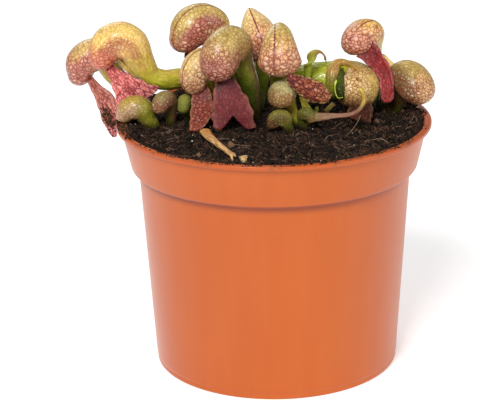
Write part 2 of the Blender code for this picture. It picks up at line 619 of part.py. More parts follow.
def pot():
    """The pot's wall, rim band, rolled lip and foot, with drain holes in a recess of its floor."""
    band_in = BAND_TOP_RADIUS - WALL
    profile = [                 # radius and height, from the middle of the underside round to the inner floor
        (CHANNEL_INNER, 0), (CHANNEL_INNER + 0.5, CHANNEL_DEPTH),
        (CHANNEL_OUTER - 0.5, CHANNEL_DEPTH), (CHANNEL_OUTER, 0), (FOOT_RADIUS - 0.5, 0),
        (FOOT_RADIUS, 0.5), (FOOT_RADIUS - 0.1, 1.7), (FOOT_RADIUS + 0.15, 2.2),
        (WALL_TOP_RADIUS, BAND_BOTTOM - 0.4), (WALL_TOP_RADIUS + 0.6, BAND_BOTTOM - 0.1),
        (BAND_BOTTOM_RADIUS - 0.5, BAND_BOTTOM + 0.1), (BAND_BOTTOM_RADIUS, BAND_BOTTOM + 0.7),
        (BAND_TOP_RADIUS, POT_HEIGHT - 1.5), (RIM_RADIUS - 0.3, POT_HEIGHT - 1.2),
        (RIM_RADIUS, POT_HEIGHT - 0.7), (RIM_RADIUS - 0.2, POT_HEIGHT - 0.15), (RIM_RADIUS - 0.7, POT_HEIGHT),
        (band_in + 0.5, POT_HEIGHT - 0.2), (band_in, POT_HEIGHT - 1.2),
        (BAND_BOTTOM_RADIUS - WALL - 0.2, BAND_BOTTOM + 0.9), (WALL_TOP_RADIUS - WALL, BAND_BOTTOM - 0.6),
        (FOOT_RADIUS - WALL + 0.1, FLOOR_TOP + 0.8), (FOOT_RADIUS - WALL - 0.8, FLOOR_TOP)]
    plastic = material("pot_plastic", POT_COLOR, 0.4)
    body = put_mesh("pot", *loft([circle(radius, height) for radius, height in profile]), plastic)
    holes = []
    for k in range(DRAIN_HOLES):
        angle = 2 * math.pi * (k + DRAIN_START) / DRAIN_HOLES
        centre = (DRAIN_CIRCLE * math.cos(angle), DRAIN_CIRCLE * math.sin(angle))
        ends = (CHANNEL_DEPTH - 1, FLOOR_TOP + 1)
        rings = [circle(DRAIN_RADIUS, height, DRAIN_SIDES, centre) for height in ends]
        holes.append(put_mesh("drain", *loft(rings), plastic))
    cut(body, holes)
    return body


def soil_height(x, y):
    """Height of the soil's top: low lumps, a little higher where the leaves rise."""
    mound = 0.9 * math.exp(-((x + 4) / 34) ** 2 - ((y - 6) / 14) ** 2)
    lumps = (math.sin(0.83 * x + 0.31 * y) * math.cos(0.67 * y - 0.29 * x)
             + 0.6 * math.sin(1.9 * x - 1.3 * y + 1.0) + 0.4 * math.cos(2.3 * y + 1.7 * x))
    return SOIL_LEVEL + mound + SOIL_RELIEF * lumps / 2


def soil_solid():
    """The plug of soil, clear of the pot's inner wall, with a lumpy top."""
    wall = [(FOOT_RADIUS - WALL - 0.8, FLOOR_TOP + GAP), (WALL_TOP_RADIUS - WALL - GAP, BAND_BOTTOM - 0.3),
            (BAND_BOTTOM_RADIUS - WALL - GAP - 0.25, BAND_BOTTOM + 1.3),
            (BAND_TOP_RADIUS - WALL - GAP - 0.5, SOIL_LEVEL - 1.4)]
    rings = [circle(radius, height) for radius, height in wall]
    edge = wall[-1][0] + 0.05
    for i in range(SOIL_RINGS):
        flat = circle(edge * (1 - i / SOIL_RINGS), 0)
        rings.append([vector(x, y, soil_height(x, y)) for x, y, _ in flat])
    return loft(rings)


def rhizome(grow=0.0):
    """The creeping rhizome with its side branch and roots, as one body."""
    body = RHIZOME.body(grow)
    fuse(body, [part.body(grow) for part in (RHIZOME_BRANCH, *ROOTS)])
    return body


def soil():
    """The soil with a plain hole for each leaf, and room for the rhizome."""
    body = put_mesh("soil", *soil_solid(), material("soil", SOIL_COLOR, 0.9))
    cut(body, [rhizome(GAP)])
    cut(body, [pitcher.foot_cutter() for pitcher in PITCHERS])
    cut(body, [leaf.cutter() for leaf in THIN_LEAVES])
    cut(body, [stub.body(GAP) for stub in STUBS])
    keep_largest(body)
    return body


for old in list(bpy.data.objects):
    bpy.data.objects.remove(old)
pot()
soil()
rhizome()
for pitcher in PITCHERS:
    pitcher.body()
for tongue in TONGUES:
    tongue.body([pitcher.cutter() for pitcher in PITCHERS if pitcher.name in tongue.cut_by])
for leaf in THIN_LEAVES:
    leaf.body()
for stub in STUBS:
    stub.body()
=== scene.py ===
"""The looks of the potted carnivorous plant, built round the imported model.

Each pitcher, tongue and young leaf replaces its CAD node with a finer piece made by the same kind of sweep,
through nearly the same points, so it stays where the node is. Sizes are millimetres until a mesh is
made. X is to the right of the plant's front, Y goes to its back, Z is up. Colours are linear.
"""
import random
from dataclasses import dataclass
from math import copysign, cos, degrees, exp, hypot, pi, radians, sin, sqrt

import bpy
import numpy as np
from numpy.linalg import norm
from mathutils import Euler, Matrix, Vector, noise
from mathutils.bvhtree import BVHTree


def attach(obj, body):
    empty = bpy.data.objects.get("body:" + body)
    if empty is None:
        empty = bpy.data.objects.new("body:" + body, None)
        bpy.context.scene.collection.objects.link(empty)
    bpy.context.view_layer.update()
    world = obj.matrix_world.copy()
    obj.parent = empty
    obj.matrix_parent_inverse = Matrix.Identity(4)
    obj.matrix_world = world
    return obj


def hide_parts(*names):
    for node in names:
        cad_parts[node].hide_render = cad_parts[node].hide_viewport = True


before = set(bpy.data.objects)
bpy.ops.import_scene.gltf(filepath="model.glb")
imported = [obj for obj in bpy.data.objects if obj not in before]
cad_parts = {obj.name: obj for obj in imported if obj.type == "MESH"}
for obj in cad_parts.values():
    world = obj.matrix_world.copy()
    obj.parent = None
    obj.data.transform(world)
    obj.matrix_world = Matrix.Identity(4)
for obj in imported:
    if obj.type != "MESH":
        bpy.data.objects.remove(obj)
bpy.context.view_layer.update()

MM = 0.001

# Camera
CAMERA_PLACE = (0.0, -0.5636, 0.2403)
CAMERA_TURN = (-0.731, -18.880, -0.941)     # azimuth, elevation and roll in degrees
LENS = 147.96
SENSOR = 36.0
PHOTO_WIDTH = 500
PHOTO_HEIGHT = 400

# Pot
RIM_RADIUS = 45.0
POT_HEIGHT = 72.0
WALL = 1.0
FLOOR_TOP = 2.4
FOOT_RADIUS = 35.2
WALL_TOP_RADIUS = 39.0
BAND_BOTTOM = 58.8
BAND_BOTTOM_RADIUS = 41.1
BAND_TOP_RADIUS = 43.7
POT_SIDES = 160
DRAIN_HOLES = 6
DRAIN_RADIUS = 2.5
DRAIN_CIRCLE = 26.5
DRAIN_START = 0.55
DRAIN_SIDES = 24
CHANNEL_DEPTH = 1.2
CHANNEL_INNER = 22.0
CHANNEL_OUTER = 31.0

# Soil
SOIL_LEVEL = 70.4
SOIL_RELIEF = 0.55
SOIL_EDGE = BAND_TOP_RADIUS - WALL - 0.35
SOIL_SIDES = 220
SOIL_RINGS = 90
CRUMB_COUNT = 4200
STRAND_COUNT = 3000
GRAIN_COUNT = 46
LIP_CRUMBS = 1900           # where the soil meets the lip
PILE_CRUMBS = 420           # in piles on the lip's front
LEFT_CRUMBS = 150           # under the far left tongue
TONGUE_CRUMBS = 260
LIP_STRANDS = 110

# Leaves
HINGE_GAP = 0.25
TUBE_STEP = 0.7
FAN_STEPS = 46
SIDES = 48
FULLNESS = 1.8              # how square the hood's underside is
LEAF_FOOT = 65.4
CREASE_WIDTH = 0.2
CREASE_START = 40.0
PEAK_ANGLE = 75.0
PEAK_SPREAD = 22.0
PEAK_WIDTH = 0.3
CAP_TURNS = (12, 24, 36, 48, 60, 70)
CAP_DEPTH = 0.85
MOUTH = ((4, 0.32), (14, 0.30), (26, 0.27), (38, 0.24))     # degrees back from the cap, and scale
MOUTH_OFFSET = 0.33
NECK_REACH = 9              # rings on each side of the neck that are smoothed
NECK_ROUNDS = 25
SWELLING = 0.05
SMALL_HOOD = 3.0            # hoods with a smaller radius are duller
NOTCH_WIDTH = 0.7
WAVE_RATE = (9, 2)          # a blade's long waves, along and across it
EDGE_RATE = (23, 4)         # the waves of its outline
EDGE_WAVE = 0.05
PUCKER_RATE = (11, 6)       # the fine waves between its veins, across and along it
PUCKER_BEND = 1.3
BLADE_THICKNESS = 0.75
BLADE_STEP = 0.45
BLADE_PATH_STEP = 0.3
FOLD_SIDES = 20
FOLD_STEP = 0.4
FOLD_CELL = 0.9
VEIN_STRETCH = 3.2          # length over width of a pitcher's long veins' cells
NO_KEEL = 3.0               # a distance from the keel line at which nothing of it shows

X_AXIS, Y_AXIS, Z_AXIS = np.identity(3)


def vector(*values):
    return np.array(values, dtype=float)


def unit(v):
    return v / norm(v)


def turned(v, axis, turn):
    """The vector v turned about a unit axis."""
    angle = radians(turn)
    return (v * cos(angle) + np.cross(axis, v) * sin(angle)
            + axis * np.dot(axis, v) * (1 - cos(angle)))


def through(x, knots, values):
    """A smooth value at x through three knots."""
    (a, b, c), (p, q, r) = knots, values
    return (p * (x - b) * (x - c) / ((a - b) * (a - c))
            + q * (x - a) * (x - c) / ((b - a) * (b - c))
            + r * (x - a) * (x - b) / ((c - a) * (c - b)))


def smooth_path(points, step, end_tangent=None):
    """Points about every step along a smooth curve through given points, of any dimension."""
    pts = np.array(points, dtype=float)
    tangents = np.gradient(pts, axis=0)
    if end_tangent is not None:
        tangents[-1][:3] = end_tangent * norm(pts[-1][:3] - pts[-2][:3])
    out = []
    for i in range(len(pts) - 1):
        length = norm(pts[i + 1][:3] - pts[i][:3])
        count = max(1, round(length / step))
        for k in range(count):
            t = k / count
            out.append((2 * t**3 - 3 * t**2 + 1) * pts[i] + (t**3 - 2 * t**2 + t) * tangents[i]
                       + (3 * t**2 - 2 * t**3) * pts[i + 1] + (t**3 - t**2) * tangents[i + 1])
    out.append(pts[-1])
    return np.array(out)


def tangent_at(path, i):
    return unit(path[min(i + 1, len(path) - 1)][:3] - path[max(i - 1, 0)][:3])


def ease(low, high, x):
    """0 below low, 1 above high, smooth between; low may be the larger."""
    t = min(1.0, max(0.0, (x - low) / (high - low)))
    return t * t * (3 - 2 * t)


def mixed(a, b, t):
    return tuple(p + (q - p) * t for p, q in zip(a, b))


def rough(point, scale, seed=0.0):
    """Smooth noise from -1 to 1 at a point in millimetres."""
    return noise.noise(Vector(point) / scale + Vector((seed, -seed, seed)))


# Materials


class Graph:
    """A new material, with short calls that add shader nodes and their links."""

    def __init__(self, name, color=None):
        self.mat = bpy.data.materials.new(name)
        self.mat.use_nodes = True
        self.tree = self.mat.node_tree
        self.color = color
        self.normal = None

    def feed(self, socket, value):
        """Links a socket, or sets its number, vector or colour of three channels."""
        if isinstance(value, bpy.types.NodeSocket):
            self.tree.links.new(value, socket)
        elif value is not None:
            socket.default_value = (*value, 1) if socket.type == "RGBA" else value

    def add(self, kind, *values, named=None, **settings):
        """A node with its settings and the values of its first and named sockets."""
        node = self.tree.nodes.new("ShaderNode" + kind)
        for key, value in settings.items():
            setattr(node, key, value)
        for socket, value in zip(node.inputs, values):
            self.feed(socket, value)
        for key, value in (named or {}).items():
            self.feed(node.inputs[key], value)
        return node

    def attribute(self, name, output="Vector"):
        return self.add("Attribute", attribute_name=name).outputs[output]

    def place(self):
        return self.add("TexCoord").outputs["Object"]

    def times(self, a, b, clamp=False):
        return self.add("Math", a, b, operation="MULTIPLY", use_clamp=clamp).outputs[0]

    def larger(self, a, b):
        return self.add("Math", a, b, operation="MAXIMUM").outputs[0]

    def vector_math(self, operation, a, b):
        return self.add("VectorMath", a, b, operation=operation).outputs[0]

    def split(self, where):
        return self.add("SeparateXYZ", where).outputs

    def ramp(self, value, low, high, start=0.0, end=1.0):
        """Value from low to high, mapped smoothly to start and end."""
        return self.add("MapRange", value, low, high, start, end, interpolation_type="SMOOTHSTEP").outputs[0]

    def noise(self, where, scale, detail=3.0, rough=0.5, output=0):
        named = {"Vector": where, "Scale": scale, "Detail": detail, "Roughness": rough}
        return self.add("TexNoise", named=named).outputs[output]

    def streaks(self, where, stretch, detail=3.0, rough=0.5):
        """Noise in a space stretched along each axis."""
        return self.noise(self.vector_math("MULTIPLY", where, stretch), 1.0, detail, rough)

    def cells(self, where, scale, feature, output):
        node = self.add("TexVoronoi", named={"Vector": where, "Scale": scale}, feature=feature)
        return node.outputs[output]

    def coat(self, share, color, blend="MIX"):
        """Lays a colour over the colour so far."""
        node = self.add("Mix", share, data_type="RGBA", blend_type=blend)
        self.feed(node.inputs[6], self.color)
        self.feed(node.inputs[7], color)
        self.color = node.outputs[2]

    def bump(self, height, strength, distance):
        """Adds relief to the normal so far."""
        named = {"Strength": strength, "Distance": distance, "Height": height, "Normal": self.normal}
        self.normal = self.add("Bump", named=named).outputs[0]

    def finish(self, **values):
        """Feeds the shader's own sockets, named with underscores, and gives the material."""
        for name, value in (("base_color", self.color), ("normal", self.normal), *values.items()):
            socket = name.replace("_", " ").title().replace("Ior", "IOR")
            self.feed(self.tree.nodes["Principled BSDF"].inputs[socket], value)
        return self.mat


def leaf_material(name, shininess):
    """A waxy leaf with a net of veins. The mesh carries where the net runs and all its colours.

    rest holds the net's coordinates in cells, flow those of the long veins, tint the ground colour, with any
    painted shade, and the net's strength, ink the veins' colour and the pale windows' strength, raised as a
    painted highlight on the side toward the lamps, weights the shares of the long veins and of the net and
    the distance in millimetres from the keel line, and keel its strength.
    """
    g = Graph(name)
    g.color = g.attribute("tint", "Color")
    rest = g.attribute("rest")
    long_share, net_share, from_keel = g.split(g.attribute("weights"))
    warp = g.vector_math("SUBTRACT", g.noise(rest, 0.9, 2.0, output=1), (0.5, 0.5, 0.5))
    warp = g.vector_math("MULTIPLY", warp, (0.7, 0.7, 0.7))
    rest = g.vector_math("ADD", rest, warp)
    flow = g.vector_math("ADD", g.attribute("flow"), warp)
    edge, fine_edge, long_edge = (g.cells(where, scale, "DISTANCE_TO_EDGE", "Distance")
                                  for where, scale in ((rest, 1.0), (rest, 2.3), (flow, 1.0)))
    line = g.times(g.ramp(edge, 0.02, 0.15, 1.0, 0.0), net_share)
    fine_line = g.times(g.ramp(fine_edge, 0.02, 0.16, 0.3, 0.0), net_share)
    long_line = g.times(g.ramp(long_edge, 0.02, 0.15, 1.0, 0.0), long_share)
    lines = g.larger(g.larger(line, long_line), fine_line)
    dome = g.times(g.ramp(edge, 0.08, 0.42), net_share)
    spotty = g.ramp(g.noise(rest, 0.35, 2.0), 0.36, 0.6)
    chance = g.split(g.cells(rest, 1.0, "F1", "Color"))[0]
    lit = g.times(g.ramp(chance, 0.3, 0.85), g.times(dome, spotty))
    mottle = g.ramp(g.noise(rest, 0.6, 4.0, 0.6), 0.3, 0.7, 0.86, 1.14)
    g.coat(1.0, g.add("CombineColor", mottle, mottle, mottle).outputs[0], "MULTIPLY")
    # painted highlight: the middle of each cell is lightened a little, as light on its dome
    g.coat(g.times(dome, 0.16), (0.85, 0.62, 0.34))
    # pale windows: the leaf's own colour, made stronger on the lit side as a painted highlight
    g.coat(g.times(lit, g.attribute("ink", "Alpha"), clamp=True), (0.98, 0.86, 0.68))
    g.coat(g.times(lines, g.attribute("tint", "Alpha"), clamp=True), g.attribute("ink", "Color"))
    keel = g.ramp(from_keel, 0.1, 0.42, 1.0, 0.0)
    g.coat(g.times(keel, g.split(g.attribute("keel"))[0]), (0.20, 0.03, 0.02))
    g.bump(g.larger(dome, g.times(g.ramp(long_edge, 0.05, 0.4), long_share)), 0.55, 0.00022)
    g.bump(g.noise(rest, 3.0), 0.15, 0.0001)
    gloss = g.ramp(g.noise(rest, 0.8, 2.0), 0.3, 0.7, 0.62 - shininess, 0.75 - shininess)
    return g.finish(roughness=gloss, specular_ior_level=shininess, subsurface_weight=0.08,
                    subsurface_scale=0.001, subsurface_radius=(1.0, 0.45, 0.2))


def pot_material():
    """Satin terracotta-coloured plastic with faint flow marks, scuffs, dust and a painted shadow under its
    band.
    """
    g = Graph("terracotta_plastic", (0.42, 0.074, 0.0))
    where = g.place()
    height = g.split(where)[2]

    def between(low, high, start, end):
        """A share that changes between two heights of the pot."""
        return g.ramp(height, low * MM, high * MM, start, end)

    broad = g.noise(where, 22.0)
    g.coat(g.ramp(broad, 0.3, 0.7), (0.45, 0.083, 0.001))
    flow_marks = g.streaks(where, (260.0, 260.0, 16.0))
    g.coat(g.times(g.ramp(flow_marks, 0.35, 0.75), 0.16), (0.5, 0.12, 0.012))
    g.coat(between(POT_HEIGHT - 1.6, POT_HEIGHT - 1.1, 0.0, 0.5), (0.38, 0.056, 0.003))
    # painted shadow: a darker strip under the band's step, where the band overhangs the wall
    band_shadow = g.times(between(BAND_BOTTOM - 3.0, BAND_BOTTOM - 0.1, 0.0, 0.75),
                         between(BAND_BOTTOM + 0.5, BAND_BOTTOM + 0.7, 1.0, 0.0))
    g.coat(band_shadow, (0.25, 0.035, 0.006))
    smears = g.ramp(g.noise(where, 260.0, 5.0, 0.7), 0.52, 0.62)
    g.coat(g.times(smears, between(POT_HEIGHT - 1.5, POT_HEIGHT, 0.0, 0.7)), (0.14, 0.04, 0.012))
    specks = g.ramp(g.cells(where, 420.0, "F1", "Distance"), 0.08, 0.2, 1.0, 0.0)
    few = g.ramp(g.noise(where, 110.0, 2.0), 0.58, 0.7)
    g.coat(g.times(g.times(specks, few), 0.3), (0.16, 0.04, 0.012))
    g.bump(g.streaks(where, (260.0, 260.0, 16.0), 2.0), 0.12, 0.0002)
    g.bump(g.noise(where, 1500.0, 2.0), 0.1, 0.00005)
    return g.finish(roughness=g.ramp(broad, 0.3, 0.7, 0.36, 0.44), specular_ior_level=0.38,
                    coat_weight=0.1, coat_roughness=0.3, sheen_weight=0.1, sheen_roughness=0.4)


def soil_material():
    """Dark damp peat: near black with brown fibres and lumps."""
    g = Graph("damp_peat", (0.003, 0.002, 0.0015))
    where = g.place()
    lumps = g.noise(where, 420.0, 5.0, 0.65)
    g.coat(g.ramp(lumps, 0.38, 0.68), (0.02, 0.01, 0.006))
    g.coat(g.ramp(g.streaks(where, (2600.0, 700.0, 1500.0)), 0.6, 0.72), (0.07, 0.035, 0.018))
    g.bump(lumps, 0.9, 0.0006)
    g.bump(g.noise(where, 1800.0, 4.0, 0.7), 0.7, 0.0002)
    return g.finish(roughness=g.ramp(lumps, 0.3, 0.7, 0.62, 0.95), specular_ior_level=0.15)


def crumb_material(name, light, roughness):
    """Loose bits, coloured by their mesh."""
    g = Graph(name)
    g.color = g.attribute("tint", "Color")
    grain = g.noise(g.place(), 2200.0, 4.0, 0.65)
    g.coat(g.ramp(grain, 0.35, 0.75, 0.0, light), (0.42, 0.27, 0.16))
    g.bump(grain, 0.8, 0.00015)
    return g.finish(roughness=roughness, specular_ior_level=0.15)


def dry_material():
    """Papery dry leaf: straw to brown, with long fibres."""
    g = Graph("dry_leaf")
    g.color = g.attribute("tint", "Color")
    flow = g.attribute("flow")
    fibre = g.streaks(flow, (5.0, 5.0, 0.9), 4.0, 0.6)
    g.coat(g.ramp(fibre, 0.42, 0.62), (0.2, 0.075, 0.02))
    g.coat(g.ramp(g.noise(flow, 0.8, 2.0), 0.5, 0.75, 0.0, 0.4), (0.78, 0.52, 0.26))
    g.bump(fibre, 0.8, 0.0002)
    return g.finish(roughness=0.62, subsurface_weight=0.05, subsurface_scale=0.001)


def rind_material(name, shaded_side, light):
    """Rough fibrous rind for the rhizome and the dry stubs."""
    g = Graph(name, shaded_side)
    grain = g.streaks(g.place(), (1400.0, 1400.0, 300.0), 4.0, 0.6)
    g.coat(g.ramp(grain, 0.35, 0.7), light)
    g.bump(grain, 0.7, 0.0002)
    return g.finish(roughness=0.75)


def floor_material():
    return Graph("pale_floor", (0.9, 0.9, 0.9)).finish(roughness=0.75, emission_color=(1, 1, 1),
                                                       emission_strength=0.32)


LEAF = leaf_material("netted_leaf", 0.42)
SOFT = leaf_material("soft_leaf", 0.2)
WITHERED = leaf_material("withered_leaf", 0.08)
PLASTIC = pot_material()
PEAT = soil_material()
CRUMBS = crumb_material("peat_crumbs", 0.06, 0.85)
FIBRES = crumb_material("peat_fibres", 0.12, 0.7)
DRY = dry_material()
RIND = rind_material("brown_rind", (0.20, 0.09, 0.035), (0.55, 0.32, 0.14))
FLAKE = rind_material("straw_flake", (0.42, 0.2, 0.06), (0.85, 0.6, 0.3))


# Meshes


def link_object(name, data):
    obj = bpy.data.objects.new(name, data)
    bpy.context.scene.collection.objects.link(obj)
    return obj


def add_object(name, verts, faces, mat=None, looks=None):
    """Adds an object from points in millimetres, with named per-point values in looks."""
    mesh = bpy.data.meshes.new(name)
    mesh.from_pydata((np.array(verts) * MM).tolist(), [], faces)
    if mat:
        mesh.materials.append(mat)
    for key, values in (looks or {}).items():
        values = np.array(values, dtype=float)
        kind, field = ("FLOAT_VECTOR", "vector") if values.shape[1] == 3 else ("FLOAT_COLOR", "color")
        mesh.attributes.new(key, kind, "POINT").data.foreach_set(field, values.ravel())
    return link_object(name, mesh)


def volume(verts, faces):
    """Signed volume of a closed mesh, positive when its faces point out."""
    total = 0.0
    for face in faces:
        for i in range(1, len(face) - 1):
            total += np.dot(verts[face[0]], np.cross(verts[face[i]], verts[face[i + 1]]))
    return total / 6


def put_mesh(name, verts, faces, mat, slot, looks=None, stands_for=()):
    """Adds a smooth piece of the plant or the pot, with its faces pointing out."""
    if volume(verts, faces) < 0:
        faces = [tuple(reversed(face)) for face in faces]
    obj = add_object(name, verts, faces, mat, looks)
    obj.data.shade_smooth()
    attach(obj, "root")
    if stands_for:
        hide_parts(*stands_for)
    return obj


def ring_round(centre, across, over, radius, sides):
    """Points of a circle in the plane of two unit vectors."""
    angles = [2 * pi * k / sides for k in range(sides)]
    return [centre + (across * cos(a) + over * sin(a)) * radius for a in angles]


def circle(radius, height, sides=POT_SIDES, centre=(0, 0)):
    """Points of a level circle."""
    return ring_round(vector(*centre, height), X_AXIS, Y_AXIS, radius, sides)


def polar(radius, angle, height):
    return radius * cos(angle), radius * sin(angle), height


def loft(rings):
    """Points and faces of a closed body through rings of equal length."""
    sides = len(rings[0])
    verts = [point for ring in rings for point in ring]
    faces = []
    for start in range(0, len(verts) - sides, sides):
        for k in range(sides):
            a, b = start + k, start + (k + 1) % sides
            faces.append((a, b, b + sides, a + sides))
    faces.append(tuple(reversed(range(sides))))
    faces.append(tuple(range(len(verts) - sides, len(verts))))
    return verts, faces


class Skin:
    """What the leaf material reads at each point of a mesh."""

    def __init__(self):
        self.looks = {key: [] for key in ("rest", "flow", "tint", "ink", "weights", "keel")}

    def add(self, rest, flow, tint, ink, weights, keel=0.0):
        for store, value in zip(self.looks.values(), (rest, flow, tint, ink, weights, (keel, 0, 0))):
            store.append(value)


# Colours of living leaves
LIME = (0.34, 0.38, 0.015)
FRESH = (0.50, 0.38, 0.04)
DEEP_GREEN = (0.045, 0.075, 0.006)
YELLOW = (0.78, 0.54, 0.15)
PALE_YELLOW = (0.84, 0.62, 0.24)
OLIVE = (0.54, 0.385, 0.10)
DULL_OLIVE = (0.24, 0.20, 0.07)
PINK = (0.56, 0.25, 0.17)
BRICK = (0.46, 0.13, 0.06)
PURPLE = (0.45, 0.145, 0.105)
TAN = (0.42, 0.29, 0.15)
CRIMSON = (0.36, 0.022, 0.035)
TONGUE_PINK = (0.8, 0.21, 0.19)
WINE = (0.13, 0.022, 0.032)
RED_INK = (0.17, 0.025, 0.015)
BROWN_INK = (0.16, 0.06, 0.015)
GREEN_INK = (0.13, 0.13, 0.015)
# painted shade that darkens the tubes near the soil
SHADOW_AT_SOIL = (0.018, 0.014, 0.003)

# Colours of loose peat
RUST = (0.13, 0.055, 0.025)
DARK_PEAT = (0.01, 0.005, 0.003)
PERLITE = (0.62, 0.55, 0.44)


@dataclass
class Look:
    """Colours of a pitcher. Parts of its fan run from 0 at the hinge to 1 at the nose."""
    back: tuple
    flank: tuple
    nose: tuple
    tube: tuple = FRESH
    inner: tuple = PINK         # the underside beside the hinge
    ink: tuple = BROWN_INK
    cell: float = 1.25          # width of the net's cells
    window: float = 0.5         # strength of the pale windows
    net: float = 0.9
    band: tuple = (0.75, 0.2)   # cosine round the hood where the back's colour ends and the flank's begins
    start: tuple = (0.15, 0.45)     # part of the fan where the flank's colour starts and is full
    nose_start: tuple = (0.7, 1.0)
    keel: float = 0.0           # strength of a dark line down the back
    keel_fade: tuple = (2.0, 3.0)   # part of the fan over which it loses most of its strength
    tube_end: tuple = (0.0, 0.3)    # part of the fan where the tube's colour ends
    shaded_side: tuple = None          # direction and colour of a side darkened by painted shade
    shaded_green_from: float = 4.0     # millimetres under the hinge where the tube turns dark green, partly painted shade
    shade: float = 3.2          # height over the soil up to which the tube is darkened


KEEL_RUN = (0.2, 0.35)      # part of the fan over which a keel line sets in
HIGHLIGHT_SIDE = unit(vector(-0.2, -0.85, 0.5))     # toward the lamps: the pale windows there get a painted highlight


def relaxed(rings, middle):
    """The rings with the bend near one of them smoothed along the tube."""
    stack = np.array(rings)
    low, high = max(1, middle - NECK_REACH), min(len(stack) - 2, middle + NECK_REACH)
    for _ in range(NECK_ROUNDS):
        part = stack[low - 1:high + 2]
        stack[low:high + 1] = (part[:-2] + 2 * part[1:-1] + part[2:]) / 4
    return [list(ring) for ring in stack]


@dataclass
class Pitcher:
    """A tube and its hood. The hood turns from the neck, behind the hinge, over the top to the nose."""
    name: str
    hinge: tuple
    heading: float
    radii: tuple                # half-thickness of the hood at the hinge, on top and at the nose
    tube: list                  # x, y, z and radius from the foot up
    look: Look
    slot: str = "hood_olive"
    widths: tuple = (1.0, 1.1, 1.0)     # width over thickness at the same places
    sweep: float = 165.0
    pitch: float = 0.0
    roll: float = 0.0
    crease: float = 0.0
    peak: float = 0.0
    seam: float = 0.0           # degrees round the hood where its furrow, ridge or point lies

    def axes(self):
        """Unit vectors to the front, up and sideways of the hood."""
        front = vector(*polar(1, radians(self.heading), 0))
        up = Z_AXIS
        side = np.cross(up, front)
        front, up = turned(front, side, self.pitch), turned(up, side, self.pitch)
        up, side = turned(up, front, self.roll), turned(side, front, self.roll)
        return front, up, side

    def half(self, theta):
        """Half-thickness and half-width of the hood at an angle of the fan."""
        knots = (0, 90, self.sweep)
        theta = min(theta, self.sweep)
        thick = through(theta, knots, self.radii)
        return thick, thick * through(theta, knots, self.widths)

    def hood_ring(self, theta, scale=1.0, toward=0.0):
        """A ring of the hood; toward moves it to the hinge, in parts of the half-thickness."""
        front, up, side = self.axes()
        t = radians(theta)
        out = up * sin(t) - front * cos(t)
        thick, wide = self.half(theta)
        centre = vector(*self.hinge) + out * (HINGE_GAP + thick * (1 - toward))
        square = 2 + FULLNESS * sin(radians(min(theta, 180))) ** 0.7 if theta > 0 else 2
        ring = []
        for k in range(SIDES):
            phi = 2 * pi * k / SIDES
            across, along = sin(phi), cos(phi)
            from_back = sin((phi - radians(self.seam)) / 2)
            furrow = self.crease * exp(-(from_back / CREASE_WIDTH) ** 2) * min(1, theta / CREASE_START)
            along_crown = (theta - PEAK_ANGLE) / PEAK_SPREAD
            bump = self.peak * exp(-along_crown ** 2 - (from_back / PEAK_WIDTH) ** 2)
            swell = (bump - furrow) * ease(0.7, 1.0, scale)
            if along < -1e-9:
                across = copysign(abs(across) ** (2 / square), across)
                along = -abs(along) ** (2 / square)
            ring.append(centre + out * (along * thick * scale + swell) + side * across * wide * scale)
        return ring

    def hood(self):
        """Angles of the fan, and rings of the hood's body, its cap and the mouth's recess."""
        places = [(self.sweep * i / FAN_STEPS, 1.0, 0.0) for i in range(FAN_STEPS + 1)]
        turn = degrees(CAP_DEPTH * self.radii[2] / (HINGE_GAP + self.radii[2]))
        for psi in CAP_TURNS:
            scale = cos(radians(psi))
            places.append((self.sweep + turn * sin(radians(psi)), scale, 0.5 * (1 - scale)))
        end = places[-1][0]
        places += [(end - back, scale, MOUTH_OFFSET) for back, scale in MOUTH]
        return [theta for theta, _, _ in places], [self.hood_ring(*place) for place in places]

    def tube_rings(self):
        """Rings of the tube from its foot to just below the neck."""
        front, up, _ = self.axes()
        neck_radius = self.radii[0]
        neck = vector(*self.hinge) - front * (HINGE_GAP + neck_radius)
        path = smooth_path([*self.tube, (*neck, neck_radius)], TUBE_STEP, end_tangent=up)
        outward = -front
        rings = []
        for i in range(len(path) - 2, -1, -1):
            tangent = tangent_at(path, i)
            outward = unit(outward - tangent * np.dot(outward, tangent))
            rings.append(ring_round(path[i][:3], outward, np.cross(outward, tangent), path[i][3], SIDES))
        return rings[::-1]

    def organic(self, rings):
        """The rings with slow swellings, as no hood is quite regular."""
        out = []
        for ring in rings:
            centre = np.mean(ring, axis=0)
            out.append([centre + (p - centre) * (1 + SWELLING * rough(p, 5.0, len(self.name))) for p in ring])
        return out

    def paint(self, fan, phi, point, depth, outward):
        """Ground, net strength, ink, window strength at a point; depth is millimetres below the neck."""
        look = self.look
        back = cos(phi)
        blotch = 0.22 * rough(point, 4.0, len(self.name)) + 0.1 * rough(point, 1.5)
        flank = ease(*look.band, back + blotch) * ease(*look.start, fan + 0.4 * blotch)
        flank *= 1 - ease(0.5, -0.7, back) * (1 - ease(0.3, 0.8, fan))
        under = ease(-0.2, -0.9, back) * (1 - ease(0.25, 0.75, fan))
        nose = ease(*look.nose_start, fan + 0.3 * blotch)
        tube = 1 - ease(*look.tube_end, fan + 0.5 * blotch)
        # lower down, the tube turns dark green: partly its own colour, partly painted shade
        below = self.hinge[2] - look.shaded_green_from - point[2]
        layers = [(look.flank, flank), (look.inner, 0.7 * under), (look.nose, nose), (look.tube, tube),
                  (LIME, 0.8 * tube * ease(2.0, 8.0, depth)),
                  (DEEP_GREEN, 0.92 * tube * ease(0.0, 8.0, below))]
        # painted shade: one side of the hood is darkened
        if look.shaded_side:
            side, color = look.shaded_side
            layers.append((color, 0.8 * ease(0.1, 0.95, np.dot(outward, unit(side)))))
